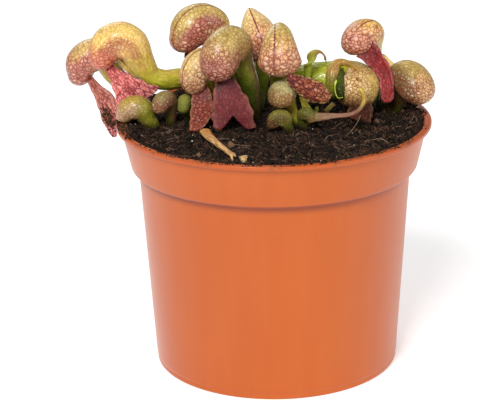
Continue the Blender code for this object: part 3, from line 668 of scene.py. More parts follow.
        # painted shade: the tubes darken toward the soil, where the leaves shade them
        soil_shadow = tube * ease(SOIL_LEVEL + look.shade, SOIL_LEVEL + 0.6, point[2])
        ground = look.back
        for color, share in (*layers, (SHADOW_AT_SOIL, 0.9 * soil_shadow)):
            ground = mixed(ground, color, share)
        marked = max(flank, nose)
        ink = mixed(look.ink, RED_INK, marked * 0.8)
        ink = mixed(ink, GREEN_INK, 0.8 * tube * ease(0.0, 8.0, depth))
        net = look.net * (0.62 + 0.38 * marked) * (1 - tube * (0.35 + 0.5 * ease(0.0, 9.0, depth)))
        # painted highlight: the windows grow stronger on the side toward the lamps
        highlight = max(0.0, np.dot(outward, HIGHLIGHT_SIDE)) ** 2
        window = look.window * (0.2 + 0.8 * marked) * (1 - tube) * (0.25 + 0.75 * highlight)
        return (*ground, net), (*ink, window)

    def build(self):
        tube = self.tube_rings()
        fans, hood = self.hood()
        rings = self.organic(relaxed(tube + hood, len(tube)))
        centres = [np.mean(ring, axis=0) for ring in rings]
        lengths = [0.0]
        for lower, upper in zip(centres, centres[1:]):
            lengths.append(lengths[-1] + norm(upper - lower))
        axes = self.axes()
        look = self.look
        seam = 2 * pi * round(self.seam / 360 * SIDES) / SIDES
        skin = Skin()
        for i, ring in enumerate(rings):
            on_hood = i >= len(tube)
            fan = fans[i - len(tube)] / self.sweep if on_hood else 0.0
            depth = 0.0 if on_hood else lengths[len(tube)] - lengths[i]
            net_share = 0.5 if on_hood else 0.5 * ease(-2.0, 1.5, -depth)
            net_share += 0.5 * ease(0.05, 0.3, fan)
            long_share = 1 - ease(0.1, 0.4, fan)
            keel = look.keel * ease(*KEEL_RUN, fan) * (1 - 0.7 * ease(*look.keel_fade, fan))
            for k, point in enumerate(ring):
                phi = 2 * pi * k / SIDES
                away = point - vector(*self.hinge)
                wide = norm(point - centres[i])
                rest = tuple(np.dot(away, axis) / look.cell for axis in (axes[0], axes[2], axes[1]))
                flow = (wide * sin(phi) / look.cell, wide * cos(phi) / look.cell,
                        lengths[i] / (look.cell * VEIN_STRETCH))
                tint, ink = self.paint(fan, phi, point, depth, (point - centres[i]) / max(wide, 0.01))
                from_keel = abs((phi - seam + pi) % (2 * pi) - pi)
                skin.add(rest, flow, tint, ink, (long_share, net_share, from_keel * wide), keel)
        put_mesh("hood_" + self.name, *loft(rings), SOFT if self.radii[1] < SMALL_HOOD else LEAF, self.slot,
                 skin.looks, ("pitcher_" + self.name,))


@dataclass
class Blade:
    """A thin curved blade: a pitcher's tongue or a young leaf. It may end in a notch like a fish's tail."""
    name: str
    path: list                  # x, y, z and half-width
    side: tuple                 # direction across its start
    colors: tuple               # of its root, middle, tip and margin
    slot: str = "tongue_red"
    end_side: tuple = None      # direction across its end, where the blade is twisted
    ink: tuple = RED_INK
    lines: float = 0.8          # strength of all its veins
    window: float = 0.15        # strength of the pale windows
    gutter: float = 0.0         # rise of its margins, in half-widths
    notch: float = 0.0
    lean: float = 0.0           # how much further one side reaches
    rounding: float = 0.08
    ripple: float = 0.0
    pucker: float = 0.12        # height of the fine waves between its veins
    cell: float = 1.0
    net: float = 0.3            # share of the round-celled net beside the long veins
    veins: float = 1.0          # share of the long veins
    mat: object = SOFT

    def surface(self, u, v, path):
        """A point of the blade's middle surface: u from -1 to 1 across, v from 0 to 1 along."""
        reach = 1 - self.notch * max(0, 1 - abs(u) / NOTCH_WIDTH) ** 1.2 + self.lean * u
        reach -= self.rounding * max(0, (abs(u) - 0.5) / 0.5) ** 2
        place = min(v * reach, 1.0) * (len(path) - 1)
        i = min(int(place), len(path) - 2)
        point = path[i] + (path[i + 1] - path[i]) * (place - i)
        tangent = unit(path[min(i + 2, len(path) - 1)][:3] - path[max(i - 1, 0)][:3])
        start, end = vector(*self.side), vector(*(self.end_side or self.side))
        across = start + (end - start) * v
        across = unit(across - tangent * np.dot(across, tangent))
        normal = np.cross(tangent, across)
        half = point[3]
        wave = sin(WAVE_RATE[0] * v + WAVE_RATE[1] * u)
        rise = (self.gutter * half + self.ripple * wave) * u * u
        spread = half * (1 + EDGE_WAVE * sin(EDGE_RATE[0] * v + EDGE_RATE[1] * u) * abs(u))
        bend = PUCKER_BEND * sin(PUCKER_RATE[1] * v)
        rise += self.pucker * sin(PUCKER_RATE[0] * u + bend) * (1 - u * u)
        return point[:3] + across * u * spread + normal * rise

    def paint(self, u, v, point):
        """Ground and the veins' strength, ink and the windows' strength at a point."""
        root, middle, tip, margin = self.colors
        ground = mixed(root, middle, ease(0.0, 0.45, v + 0.1 * rough(point, 2.5)))
        ground = mixed(ground, tip, ease(0.6, 1.0, v + 0.12 * rough(point, 2.0)))
        ground = mixed(ground, margin, 0.8 * ease(0.72, 0.98, abs(u) + 0.08 * rough(point, 1.2)))
        return (*ground, self.lines), (*self.ink, self.window)

    def build(self):
        path = smooth_path(self.path, BLADE_PATH_STEP)
        length = norm(np.diff(path[:, :3], axis=0), axis=1).sum()
        widest = path[:, 3].max()
        along = max(8, round(length / BLADE_STEP))
        across = max(6, round(2 * widest / BLADE_STEP))
        columns = across + 1
        places = [(-1 + 2 * j / across, i / along) for i in range(along + 1) for j in range(columns)]
        under = len(places)
        grid = np.array([self.surface(u, v, path) for u, v in places]).reshape(along + 1, columns, 3)
        normal = np.cross(np.gradient(grid, axis=0), np.gradient(grid, axis=1))
        normal /= norm(normal, axis=2)[:, :, None]
        u = np.linspace(-1, 1, columns)[None, :, None]
        half = BLADE_THICKNESS / 2 * (1 - 0.55 * np.abs(u) ** 4)
        verts = np.concatenate([(grid + normal * half).reshape(-1, 3), (grid - normal * half).reshape(-1, 3)])
        faces = []
        for i in range(along):
            for a in range(i * columns, i * columns + across):
                top = (a, a + 1, a + columns + 1, a + columns)
                faces.append(top)
                faces.append(tuple(corner + under for corner in reversed(top)))
        edge = list(range(columns))
        edge += [i * columns + across for i in range(1, along + 1)]
        edge += [along * columns + j for j in range(across - 1, -1, -1)]
        edge += [i * columns for i in range(along - 1, 0, -1)]
        for a, b in zip(edge, edge[1:] + edge[:1]):
            faces.append((b, a, a + under, b + under))
        skin = Skin()
        for k, point in enumerate(verts):
            u, v = places[k % under]
            half = path[min(int(v * (len(path) - 1)), len(path) - 1)][3]
            flow = (u * (0.6 * half + 0.4 * widest) / (0.9 * self.cell), 0.5 * (k // under),
                    v * length / (2.8 * self.cell))
            tint, ink = self.paint(u, v, point)
            skin.add(tuple(point / self.cell), flow, tint, ink, (self.veins, self.net, NO_KEEL))
        put_mesh(self.name + "_blade", verts, faces, self.mat, self.slot, skin.looks, (self.name,))


PITCHERS = [
    Pitcher("far_left", (-51.5, 16.4, 82.6), 186, (3.3, 4.7, 4.3),
            [(-35.4, 8.6, LEAF_FOOT, 1.8), (-36.4, 10.6, 71.0, 2.0), (-40.8, 14.2, 76.4, 2.4)],
            Look(back=(0.64, 0.42, 0.13), flank=PURPLE, nose=PURPLE, cell=1.2, window=0.8,
                 nose_start=(0.6, 0.9), band=(0.6, 0.2)), "hood_yellow", pitch=15, sweep=172),
    Pitcher("big_arch", (-43.4, 4.5, 89.6), 180, (4.3, 5.0, 4.6),
            [(-17.0, 8.6, LEAF_FOOT, 2.0), (-17.4, 11.4, 73.0, 2.3), (-20.0, 11.0, 79.4, 2.7),
             (-25.4, 9.0, 81.8, 2.9), (-31.4, 5.6, 82.4, 3.0), (-35.2, 4.6, 84.2, 3.1),
             (-37.2, 4.5, 87.4, 3.9)],
            Look(back=YELLOW, flank=(0.46, 0.14, 0.055), nose=(0.64, 0.16, 0.085), tube=FRESH, inner=BRICK,
                 ink=(0.26, 0.09, 0.02), window=0.35, band=(0.5, 0.1), start=(-0.3, 0.0),
                 nose_start=(0.75, 1.0), cell=1.1, net=0.8, tube_end=(-0.1, 0.16), shaded_green_from=9.0),
            "hood_yellow", widths=(1.0, 1.0, 0.95), pitch=4, sweep=172),
    Pitcher("low_arch", (-39.4, -2.9, 73.4), 180, (2.6, 3.3, 2.7),
            [(-33.2, 0.6, LEAF_FOOT, 1.7), (-33.6, -2.2, 70.5, 2.2)],
            Look(back=(0.42, 0.29, 0.05), flank=TAN, nose=(0.44, 0.27, 0.12), tube=(0.22, 0.22, 0.015),
                 inner=TAN, cell=0.9, net=0.6, window=0.06, tube_end=(0.2, 0.7),
                 shaded_side=((-0.2, -0.3, -1), (0.16, 0.1, 0.03))), "hood_brown", sweep=158),
    Pitcher("small_brown", (-30.7, -3.2, 76.7), 228, (1.7, 2.3, 2.2),
            [(-29.2, 1.8, LEAF_FOOT, 1.3), (-29.4, -0.6, 71.5, 1.5)],
            Look(back=DULL_OLIVE, flank=(0.28, 0.17, 0.08), nose=(0.24, 0.13, 0.06), cell=0.9, window=0.7,
                 net=0.8, tube=(0.10, 0.09, 0.02), shaded_side=((1, -0.2, -0.3), (0.12, 0.06, 0.03))),
            "hood_brown", widths=(1.0, 1.15, 1.15)),
    Pitcher("small_green", (-25.2, 0.5, 75.4), 258, (1.3, 1.9, 1.8),
            [(-24.6, 3.6, LEAF_FOOT, 1.1), (-24.8, 2.4, 71.5, 1.2)],
            Look(back=(0.2, 0.2, 0.03), flank=(0.15, 0.17, 0.02), nose=(0.16, 0.18, 0.02), inner=DEEP_GREEN,
                 tube=DEEP_GREEN, cell=0.8, net=0.2, window=0.15, ink=GREEN_INK,
                 shaded_side=((1, -0.2, -0.5), (0.05, 0.07, 0.005))),
            "leaf_green", widths=(1.0, 1.05, 1.05)),
    Pitcher("top_left", (-20.6, 12.6, 91.3), 205, (3.4, 5.8, 5.0),
            [(-10.6, 9.6, LEAF_FOOT, 1.9), (-10.4, 13.0, 74.0, 2.3), (-13.0, 15.2, 82.5, 2.8)],
            Look(back=OLIVE, flank=PURPLE, nose=PURPLE, cell=1.25, window=1.0, band=(0.75, 0.35),
                 start=(0.1, 0.35), nose_start=(0.85, 1.2), keel=0.8),
            widths=(1.0, 0.98, 0.95), sweep=158, crease=-0.35, seam=26),
    Pitcher("left_hanging", (-18.7, 2.8, 84.4), 207, (3.0, 4.1, 4.0),
            [(-13.2, 5.0, LEAF_FOOT, 1.8), (-13.3, 4.2, 74.0, 2.2), (-14.2, 4.9, 79.4, 2.6)],
            Look(back=(0.72, 0.5, 0.18), flank=(0.76, 0.48, 0.22), nose=(0.66, 0.36, 0.18), cell=1.2,
                 window=0.8, net=0.8, start=(0.3, 0.7), keel=0.8),
            widths=(1.0, 1.0, 1.0), pitch=22, sweep=176, crease=-0.25, seam=15),
    Pitcher("centre", (-11.6, -3.6, 89.8), 228, (3.4, 5.3, 5.2),
            [(-6.4, 4.6, LEAF_FOOT, 1.8), (-6.0, 1.6, 74.0, 2.5), (-6.8, 0.6, 81.5, 2.9)],
            Look(back=(0.48, 0.34, 0.09), flank=(0.46, 0.22, 0.11), nose=(0.44, 0.17, 0.12), cell=1.1,
                 window=0.35, start=(0.3, 0.8), nose_start=(0.65, 1.0), net=1.0, band=(0.3, -0.3),
                 shaded_side=((1, 0.1, -0.3), (0.30, 0.15, 0.07)), shaded_green_from=1.0, tube=(0.17, 0.19, 0.012),
                 shade=19.0), widths=(1.0, 0.95, 1.05), pitch=12),
    Pitcher("pointed", (-3.0, 16.6, 88.5), 278, (3.0, 5.0, 4.5),
            [(-4.4, 10.4, LEAF_FOOT, 1.7), (-4.2, 17.2, 73.0, 2.0), (-3.4, 19.6, 81.0, 2.5)],
            Look(back=PALE_YELLOW, flank=(0.80, 0.48, 0.18), nose=(0.66, 0.26, 0.14), cell=1.25, window=0.7,
                 net=0.85, nose_start=(0.6, 1.0), keel=1.0, ink=(0.24, 0.06, 0.02)),
            "hood_yellow", widths=(1.0, 1.0, 1.2), roll=17, crease=-0.5, peak=1.9),
    Pitcher("front", (1.8, -1.0, 89.3), 270, (3.3, 5.2, 5.1),
            [(1.8, 4.6, LEAF_FOOT, 1.8), (2.4, 3.2, 74.0, 2.3), (2.0, 3.2, 82.0, 2.8)],
            Look(back=(0.58, 0.42, 0.10), flank=(0.60, 0.38, 0.13), nose=(0.60, 0.28, 0.15), cell=1.3,
                 window=0.9, net=0.85, nose_start=(0.6, 1.05), keel=1.0, keel_fade=(0.9, 1.2),
                 tube=(0.14, 0.16, 0.01), shade=19.0),
            widths=(1.0, 0.82, 1.22), crease=0.55, peak=0.9, seam=-16),
    Pitcher("small_pale", (3.2, -5.4, 79.2), 243, (1.8, 2.8, 2.8),
            [(5.8, -2.4, LEAF_FOOT, 1.3), (6.0, -3.6, 73.0, 1.5)],
            Look(back=(0.44, 0.42, 0.18), flank=(0.56, 0.47, 0.22), nose=(0.28, 0.17, 0.05), cell=1.0,
                 window=0.3, net=0.75, shaded_side=((-1, -0.1, -0.4), (0.12, 0.09, 0.02))),
            widths=(1.0, 1.3, 1.35)),
    Pitcher("small_arch", (1.6, -9.0, 72.4), 188, (1.6, 2.4, 1.8),
            [(5.8, -6.6, LEAF_FOOT, 1.2), (5.3, -8.0, 70.0, 1.4)],
            Look(back=(0.15, 0.14, 0.015), flank=(0.06, 0.065, 0.006), nose=(0.1, 0.05, 0.012), cell=0.8,
                 net=0.5, window=0.05, tube=(0.08, 0.1, 0.008), ink=BROWN_INK,
                 shaded_side=((-1, 0.1, -0.6), (0.07, 0.04, 0.012))),
            "leaf_green", widths=(1.0, 0.95, 0.9), sweep=158),
    Pitcher("small_bulb", (9.2, -8.4, 74.0), 330, (1.3, 1.7, 1.3),
            [(9.2, -4.6, LEAF_FOOT, 1.1), (8.7, -6.4, 70.5, 1.2)],
            Look(back=(0.08, 0.095, 0.008), flank=(0.06, 0.07, 0.006), nose=(0.22, 0.14, 0.04), cell=0.8,
                 net=0.4, window=0.0, tube=(0.08, 0.1, 0.008), ink=BROWN_INK,
                 shaded_side=((-0.2, -0.3, -1), (0.05, 0.06, 0.008))),
            "leaf_green", widths=(1.0, 1.35, 1.2)),
    Pitcher("lying", (19.4, 4.6, 80.4), 270, (5.4, 5.4, 4.4),
            [(2.4, 10.4, LEAF_FOOT, 1.9), (2.6, 12.2, 72.0, 2.8), (5.2, 11.8, 77.5, 4.3),
             (10.0, 11.2, 79.6, 5.4)],
            Look(back=(0.66, 0.46, 0.12), flank=(0.62, 0.43, 0.14), nose=(0.62, 0.41, 0.14),
                 tube=(0.40, 0.44, 0.012), inner=(0.22, 0.24, 0.02), cell=1.05, net=0.9, window=0.35,
                 tube_end=(0.05, 0.5), shaded_side=((-0.2, -0.3, -1), (0.18, 0.10, 0.03)), shaded_green_from=7.0),
            "leaf_green", widths=(1.12, 1.15, 1.1), roll=-100, sweep=150),
    Pitcher("upper_right", (27.0, 12.4, 89.7), 217, (2.3, 4.0, 4.1),
            [(28.6, 12.2, LEAF_FOOT, 1.7), (29.4, 14.6, 74.0, 1.9), (29.6, 15.4, 83.0, 2.1)],
            Look(back=(0.72, 0.44, 0.11), flank=(0.68, 0.33, 0.13), nose=(0.64, 0.26, 0.17), cell=1.2,
                 window=0.7, nose_start=(0.6, 0.95), keel=0.9, keel_fade=(0.65, 0.95), tube=PALE_YELLOW),
            "hood_yellow", widths=(1.0, 1.15, 1.15), sweep=158, crease=-0.4, seam=32),
    Pitcher("far_right", (38.4, 7.4, 77.4), 305, (3.6, 4.6, 4.9),
            [(34.0, 9.4, LEAF_FOOT, 1.8), (34.8, 10.4, 71.0, 2.5)],
            Look(back=(0.50, 0.36, 0.09), flank=(0.62, 0.42, 0.15), nose=(0.56, 0.31, 0.12), cell=1.0,
                 window=0.45, net=0.9, inner=(0.12, 0.06, 0.02), tube=(0.08, 0.045, 0.015),
                 shaded_side=((-1, -0.6, -0.2), (0.06, 0.03, 0.01)), shade=9.0),
            widths=(1.0, 1.05, 1.1), sweep=162),
    Pitcher("behind_right", (33.1, 18.2, 80.7), 350, (1.3, 1.6, 1.3),
            [(32.8, 14.0, LEAF_FOOT, 1.1), (32.6, 17.8, 74.0, 1.2)],
            Look(back=PALE_YELLOW, flank=PALE_YELLOW, nose=TAN, cell=1.0, net=0.3, window=0.3,
                 tube=PALE_YELLOW), "dry_straw", peak=2.0),
]

LEAVES = [
    Blade("tongue_far_left",
          [(-54.6, 15.2, 82.0, 0.9), (-52.3, 13.4, 78.9, 1.3), (-48.6, 12.2, 73.7, 2.8),
           (-47.6, 11.6, 69.0, 2.4), (-46.7, 11.0, 63.8, 0.8)], (1, 0.1, 0),
          (PURPLE, (0.55, 0.2, 0.16), (0.66, 0.22, 0.24), (0.62, 0.3, 0.25)), gutter=0.25),
    Blade("tongue_big_arch",
          [(-48.0, 4.0, 88.2, 1.0), (-45.8, 3.2, 85.6, 1.7), (-42.4, 1.9, 81.8, 3.9),
           (-38.0, 1.3, 76.5, 7.4)], (0.8, -0.1, 0.6),
          (CRIMSON, TONGUE_PINK, (0.8, 0.27, 0.27), (0.74, 0.26, 0.25)), ink=(0.17, 0.012, 0.014), lines=0.9,
          end_side=(0.97, 0, 0.25), gutter=0.1, notch=0.06, lean=0.04, ripple=0.25, cell=1.25, net=0.7),
    Blade("tongue_top_left",
          [(-23.6, 11.2, 90.4, 1.0), (-24.2, 10.4, 88.4, 1.4), (-23.9, 9.8, 87.0, 1.7),
           (-23.6, 9.4, 85.8, 1.5)], (0.9, 0.4, 0), (WINE, WINE, WINE, WINE), "tongue_wine", gutter=0.2),
    Blade("tongue_left_hanging",
          [(-20.8, 0.4, 81.4, 2.4), (-20.2, -2.4, 77.0, 3.2), (-20.6, -6.4, 74.0, 3.1),
           (-21.7, -10.8, 72.0, 2.2)], (1, 0, 0),
          ((0.16, 0.025, 0.02), (0.3, 0.06, 0.04), (0.34, 0.08, 0.05), (0.45, 0.2, 0.1)),
          ink=(0.09, 0.008, 0.006), window=0.3, lines=1.0, end_side=(0.9, 0, 0.35), gutter=0.2, lean=-0.08,
          pucker=0.04, net=0.9, veins=0.6),
    # its dark root colour is painted shade under the centre hood
    Blade("tongue_centre",
          [(-13.2, -7.4, 86.0, 2.6), (-12.8, -9.0, 82.2, 4.2), (-11.8, -10.2, 78.0, 5.6),
           (-11.0, -11.4, 71.9, 6.0)], (1, 0.1, -0.1),
          ((0.06, 0.01, 0.013), (0.17, 0.026, 0.029), (0.14, 0.018, 0.022), (0.3, 0.1, 0.07)),
          "tongue_wine", ink=(0.06, 0.006, 0.008), lines=0.9, window=0.0, gutter=-0.12, notch=0.3,
          lean=0.06, ripple=0.3, pucker=0.04, cell=1.1, net=0.25, veins=0.6),
    Blade("tongue_front",
          [(4.0, -8.8, 87.0, 1.3), (6.8, -9.6, 85.2, 2.2), (11.6, -9.2, 82.6, 3.2),
           (15.8, -8.6, 80.2, 1.6)], (-0.35, -0.3, -0.9),
          ((0.2, 0.02, 0.018), (0.34, 0.085, 0.035), (0.42, 0.16, 0.06), (0.46, 0.36, 0.1)),
          ink=(0.06, 0.006, 0.006), window=0.3, lines=1.0, gutter=0.2, pucker=0.07, cell=1.1, net=0.8),
    Blade("tongue_small_bulb",
          [(10.8, -9.2, 75.0, 1.5), (13.6, -10.0, 75.4, 1.1), (17.8, -11.0, 75.9, 0.7),
           (22.0, -11.5, 76.5, 0.55), (24.5, -12.0, 78.6, 0.5), (25.3, -12.2, 81.2, 0.75),
           (24.2, -12.5, 84.2, 0.4)], (0, -0.5, -0.9),
          ((0.2, 0.13, 0.045), (0.27, 0.125, 0.08), (0.78, 0.56, 0.06), (0.26, 0.12, 0.075)),
          "dry_brown", ink=(0.14, 0.05, 0.03), lines=0.3, window=0.0, end_side=(0.9, -0.5, 0), pucker=0.03),
    Blade("tongue_lying",
          [(25.0, 0.4, 77.6, 2.2), (24.9, -0.8, 74.8, 3.4), (23.8, -2.8, 71.9, 3.7)], (1, 0, -0.1),
          ((0.04, 0.01, 0.005), (0.055, 0.012, 0.006), (0.08, 0.018, 0.008), (0.17, 0.07, 0.025)),
          "dry_brown", ink=(0.02, 0.005, 0.003), window=0.0, gutter=0.2, mat=WITHERED),
    Blade("tongue_upper_right",
          [(26.4, 8.2, 90.2, 3.2), (29.0, 6.9, 87.6, 2.6), (32.0, 5.4, 83.4, 2.1),
           (32.6, 3.6, 79.4, 2.0), (32.4, 3.0, 75.6, 1.6)], (0.85, 0, 0.5),
          ((0.16, 0.01, 0.01), (0.3, 0.018, 0.018), (0.42, 0.05, 0.05), (0.42, 0.1, 0.1)),
          ink=(0.1, 0.004, 0.005), window=0.5, end_side=(1, 0, 0), gutter=0.3, pucker=0.06),
    Blade("young_leaf_curled",
          [(8.2, 2.6, LEAF_FOOT, 0.8), (9.1, 3.1, 75.0, 0.8), (9.7, 3.6, 84.0, 1.0), (10.1, 3.7, 87.0, 1.6),
           (11.4, 3.8, 89.8, 1.3), (13.2, 3.8, 90.6, 0.5), (14.6, 3.8, 89.5, 0.22), (14.9, 3.8, 88.1, 0.18)],
          (1, 0, 0), (DEEP_GREEN, (0.34, 0.42, 0.02), (0.24, 0.09, 0.04), LIME), "leaf_green",
          ink=GREEN_INK, lines=0.3, end_side=(0, 0.2, 1), rounding=0, pucker=0.03),
    Blade("young_leaf_leaning",
          [(10.0, -1.6, LEAF_FOOT, 0.8), (10.4, -3.6, 73.0, 1.1), (9.0, -4.4, 77.0, 1.0),
           (7.6, -4.6, 79.8, 0.5)], (0.9, 0, 0.4), (LIME, LIME, FRESH, (0.4, 0.4, 0.1)), "leaf_green",
          ink=GREEN_INK, lines=0.3, rounding=0, pucker=0.03),
    Blade("dry_stalk",
          [(-10.4, -36.0, 67.0, 0.8), (-11.0, -35.0, 71.8, 0.8), (-12.4, -31.5, 72.2, 0.9),
           (-15.8, -22.5, 72.1, 1.1), (-18.2, -16.5, 72.5, 1.5), (-19.4, -13.6, 73.2, 1.6)], (0.9, 0.4, 0),
          ((0.6, 0.34, 0.13), (0.74, 0.44, 0.17), (0.5, 0.22, 0.05), (0.5, 0.24, 0.08)),
          "dry_straw", gutter=0.3, rounding=0, pucker=0.06, mat=DRY),
]


def rounded(profile, radius=0.35, steps=3):
    """A profile with each corner replaced by a short arc."""
    out = [profile[0]]
    for points in zip(profile, profile[1:], profile[2:]):
        before, corner, after = (vector(*p) for p in points)
        back, ahead = before - corner, after - corner
        cut = min(radius, 0.45 * norm(back), 0.45 * norm(ahead))
        start, end = corner + unit(back) * cut, corner + unit(ahead) * cut
        for t in (k / steps for k in range(steps + 1)):
            out.append(tuple(start * (1 - t) ** 2 + corner * 2 * t * (1 - t) + end * t * t))
    out.append(profile[-1])
    return out


def pot():
    """The pot with a rounded lip, a rim band, and drain holes in a recess of its floor."""
    foot, rim, top = FOOT_RADIUS, RIM_RADIUS, POT_HEIGHT
    profile = rounded([
        (CHANNEL_INNER, 0), (CHANNEL_INNER + 0.5, CHANNEL_DEPTH),
        (CHANNEL_OUTER - 0.5, CHANNEL_DEPTH), (CHANNEL_OUTER, 0), (foot - 0.5, 0),
        (foot, 0.5), (foot - 0.1, 1.7), (foot + 0.15, 2.2),
        (WALL_TOP_RADIUS, BAND_BOTTOM - 0.4), (WALL_TOP_RADIUS + 0.6, BAND_BOTTOM - 0.1),
        (BAND_BOTTOM_RADIUS - 0.5, BAND_BOTTOM + 0.1), (BAND_BOTTOM_RADIUS, BAND_BOTTOM + 0.7),
        (BAND_TOP_RADIUS - 0.15, top - 1.7), (BAND_TOP_RADIUS, top - 1.4), (rim - 0.25, top - 1.25),
        (rim, top - 1.05), (rim, top - 0.2), (rim - 0.2, top), (rim - 0.75, top), (rim - 0.9, top - 0.22),
        (rim - 1.3, top - 0.22), (rim - 1.45, top), (rim - 1.9, top), (BAND_TOP_RADIUS - WALL, top - 0.6),
        (BAND_BOTTOM_RADIUS - WALL - 0.2, BAND_BOTTOM + 0.9), (WALL_TOP_RADIUS - WALL, BAND_BOTTOM - 0.6),
        (foot - WALL + 0.1, FLOOR_TOP + 0.8), (foot - WALL - 0.8, FLOOR_TOP)])
    rings = [circle(radius, height) for radius, height in profile]
    body = put_mesh("pot_shell", *loft(rings), PLASTIC, "pot_plastic", stands_for=("pot",))
    for k in range(DRAIN_HOLES):
        centre = polar(DRAIN_CIRCLE, 2 * pi * (k + DRAIN_START) / DRAIN_HOLES, 0)[:2]
        heights = (CHANNEL_DEPTH - 1, FLOOR_TOP + 1)
        drill = add_object("drain", *loft([circle(DRAIN_RADIUS, z, DRAIN_SIDES, centre) for z in heights]))
        mod = body.modifiers.new("cut", "BOOLEAN")
        mod.operation = "DIFFERENCE"
        mod.solver = "EXACT"
        mod.object = drill
        bpy.context.view_layer.objects.active = body
        bpy.ops.object.modifier_apply(modifier=mod.name)
        bpy.data.objects.remove(drill)
    body.data.shade_smooth()
    body.data.set_sharp_from_angle(angle=radians(50))


def soil_height(x, y):
    """Height of the soil's top: low lumps, a little higher where the leaves rise."""
    mound = 0.9 * exp(-((x + 4) / 34) ** 2 - ((y - 6) / 14) ** 2)
    lumps = (sin(0.83 * x + 0.31 * y) * cos(0.67 * y - 0.29 * x)
             + 0.6 * sin(1.9 * x - 1.3 * y + 1.0) + 0.4 * cos(2.3 * y + 1.7 * x))
    return SOIL_LEVEL + mound + SOIL_RELIEF * lumps / 2


def fine_soil_height(x, y):
    """The soil's top with its crumbs, raised along the wall."""
    here = (x, y, 0)
    crumbs = 0.55 * rough(here, 1.6, 3) + 0.4 * rough(here, 0.8, 5) + 0.18 * abs(rough(here, 0.45, 7))
    edge = 1.4 * ease(SOIL_EDGE - 6, SOIL_EDGE - 0.5, hypot(x, y))
    return soil_height(x, y) + crumbs + edge


def soil():
    """A plug of peat that fills the pot, with a crumbly top."""
    wall = [(FOOT_RADIUS - WALL - 0.8, FLOOR_TOP + 0.3), (WALL_TOP_RADIUS - WALL - 0.3, BAND_BOTTOM - 0.3),
            (BAND_BOTTOM_RADIUS - WALL - 0.55, BAND_BOTTOM + 1.3), (SOIL_EDGE - 0.2, SOIL_LEVEL - 1.4)]
    rings = [circle(radius, height, SOIL_SIDES) for radius, height in wall]
    for i in range(SOIL_RINGS):
        flat = circle(SOIL_EDGE * (1 - i / SOIL_RINGS) ** 0.9, 0, SOIL_SIDES)
        rings.append([vector(x, y, fine_soil_height(x, y)) for x, y, _ in flat])
    put_mesh("peat", *loft(rings), PEAT, "soil", stands_for=("soil",))


GOLDEN = (1 + sqrt(5)) / 2
BALL = [unit(vector(*p)) for p in (
    (-1, GOLDEN, 0), (1, GOLDEN, 0), (-1, -GOLDEN, 0), (1, -GOLDEN, 0),
    (0, -1, GOLDEN), (0, 1, GOLDEN), (0, -1, -GOLDEN), (0, 1, -GOLDEN),
    (GOLDEN, 0, -1), (GOLDEN, 0, 1), (-GOLDEN, 0, -1), (-GOLDEN, 0, 1))]
BALL_FACES = [(0, 11, 5), (0, 5, 1), (0, 1, 7), (0, 7, 10), (0, 10, 11), (1, 5, 9), (5, 11, 4), (11, 10, 2),
              (10, 7, 6), (7, 1, 8), (3, 9, 4), (3, 4, 2), (3, 2, 6), (3, 6, 8), (3, 8, 9), (4, 9, 5),
              (2, 4, 11), (6, 2, 10), (8, 6, 7), (9, 8, 1)]


class Heap:
    """Many small loose bits gathered into one piece."""

    def __init__(self, dice):
        self.dice = dice
        self.verts = []
        self.faces = []
        self.tint = []

    def add(self, verts, faces, color):
        base = len(self.verts)
        self.verts += [tuple(v) for v in verts]
        self.faces += [tuple(base + i for i in face) for face in faces]
        self.tint += [(*color, 1.0)] * len(verts)

    def lump(self, centre, size, color, flat=0.6):
        """An irregular crumb about size millimetres across."""
        dice = self.dice
        turn = Euler([dice.uniform(0, 6.28) for _ in range(3)]).to_matrix()
        stretch = Matrix.Diagonal((dice.uniform(0.6, 1.3), dice.uniform(0.6, 1.2), flat))
        corners = [turn @ (stretch @ Vector(p * dice.uniform(0.7, 1.25) * size / 2)) for p in BALL]
        self.add([vector(*centre) + vector(*corner) for corner in corners], BALL_FACES, color)

    def fibre(self, points, radius, color, sides=4):
        """A thin fibre through points, tapering to its end."""
        path = smooth_path(points, 0.9)
        rings = []
        for i, point in enumerate(path):
            tangent = tangent_at(path, i)
            across = unit(np.cross(tangent, vector(0.13, 0.21, 1.0)))
            here = radius * (1 - 0.75 * i / (len(path) - 1))
            rings.append(ring_round(point, across, np.cross(across, tangent), here, sides))
        self.add(*loft(rings), color)

    def put(self, name, mat):
        obj = add_object(name, self.verts, self.faces, mat, {"tint": self.tint})
        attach(obj, "root")


def on_soil(dice):
    """A random place on the soil."""
    radius = (SOIL_EDGE - 0.4) * sqrt(dice.random())
    return polar(radius, dice.uniform(0, 2 * pi), 0)[:2]


PEAT_TONES = [      # share up to which a tone comes, and the two colours it lies between
    (0.76, (0.0015, 0.001, 0.0008), (0.007, 0.0035, 0.0022)),
    (0.965, (0.009, 0.0045, 0.0025), (0.028, 0.012, 0.007)),
    (1.0, (0.05, 0.022, 0.012), (0.17, 0.085, 0.045)),
]


def peat_color(dice):
    tone = dice.random()
    _, low, high = next(row for row in PEAT_TONES if tone < row[0])
    return mixed(low, high, dice.random())


CRUMB_SIZES = (0.5, 0.6, 0.8, 1.0, 1.4, 2.0)
HAIR_SHARE = 0.06
HAIR = ((4.0, 9.0), (0.05, 0.08), (0.5, 0.33, 0.22))        # lengths, radii and brightest colour
CHIP = ((0.7, 2.4), (0.06, 0.17), (0.16, 0.075, 0.043))


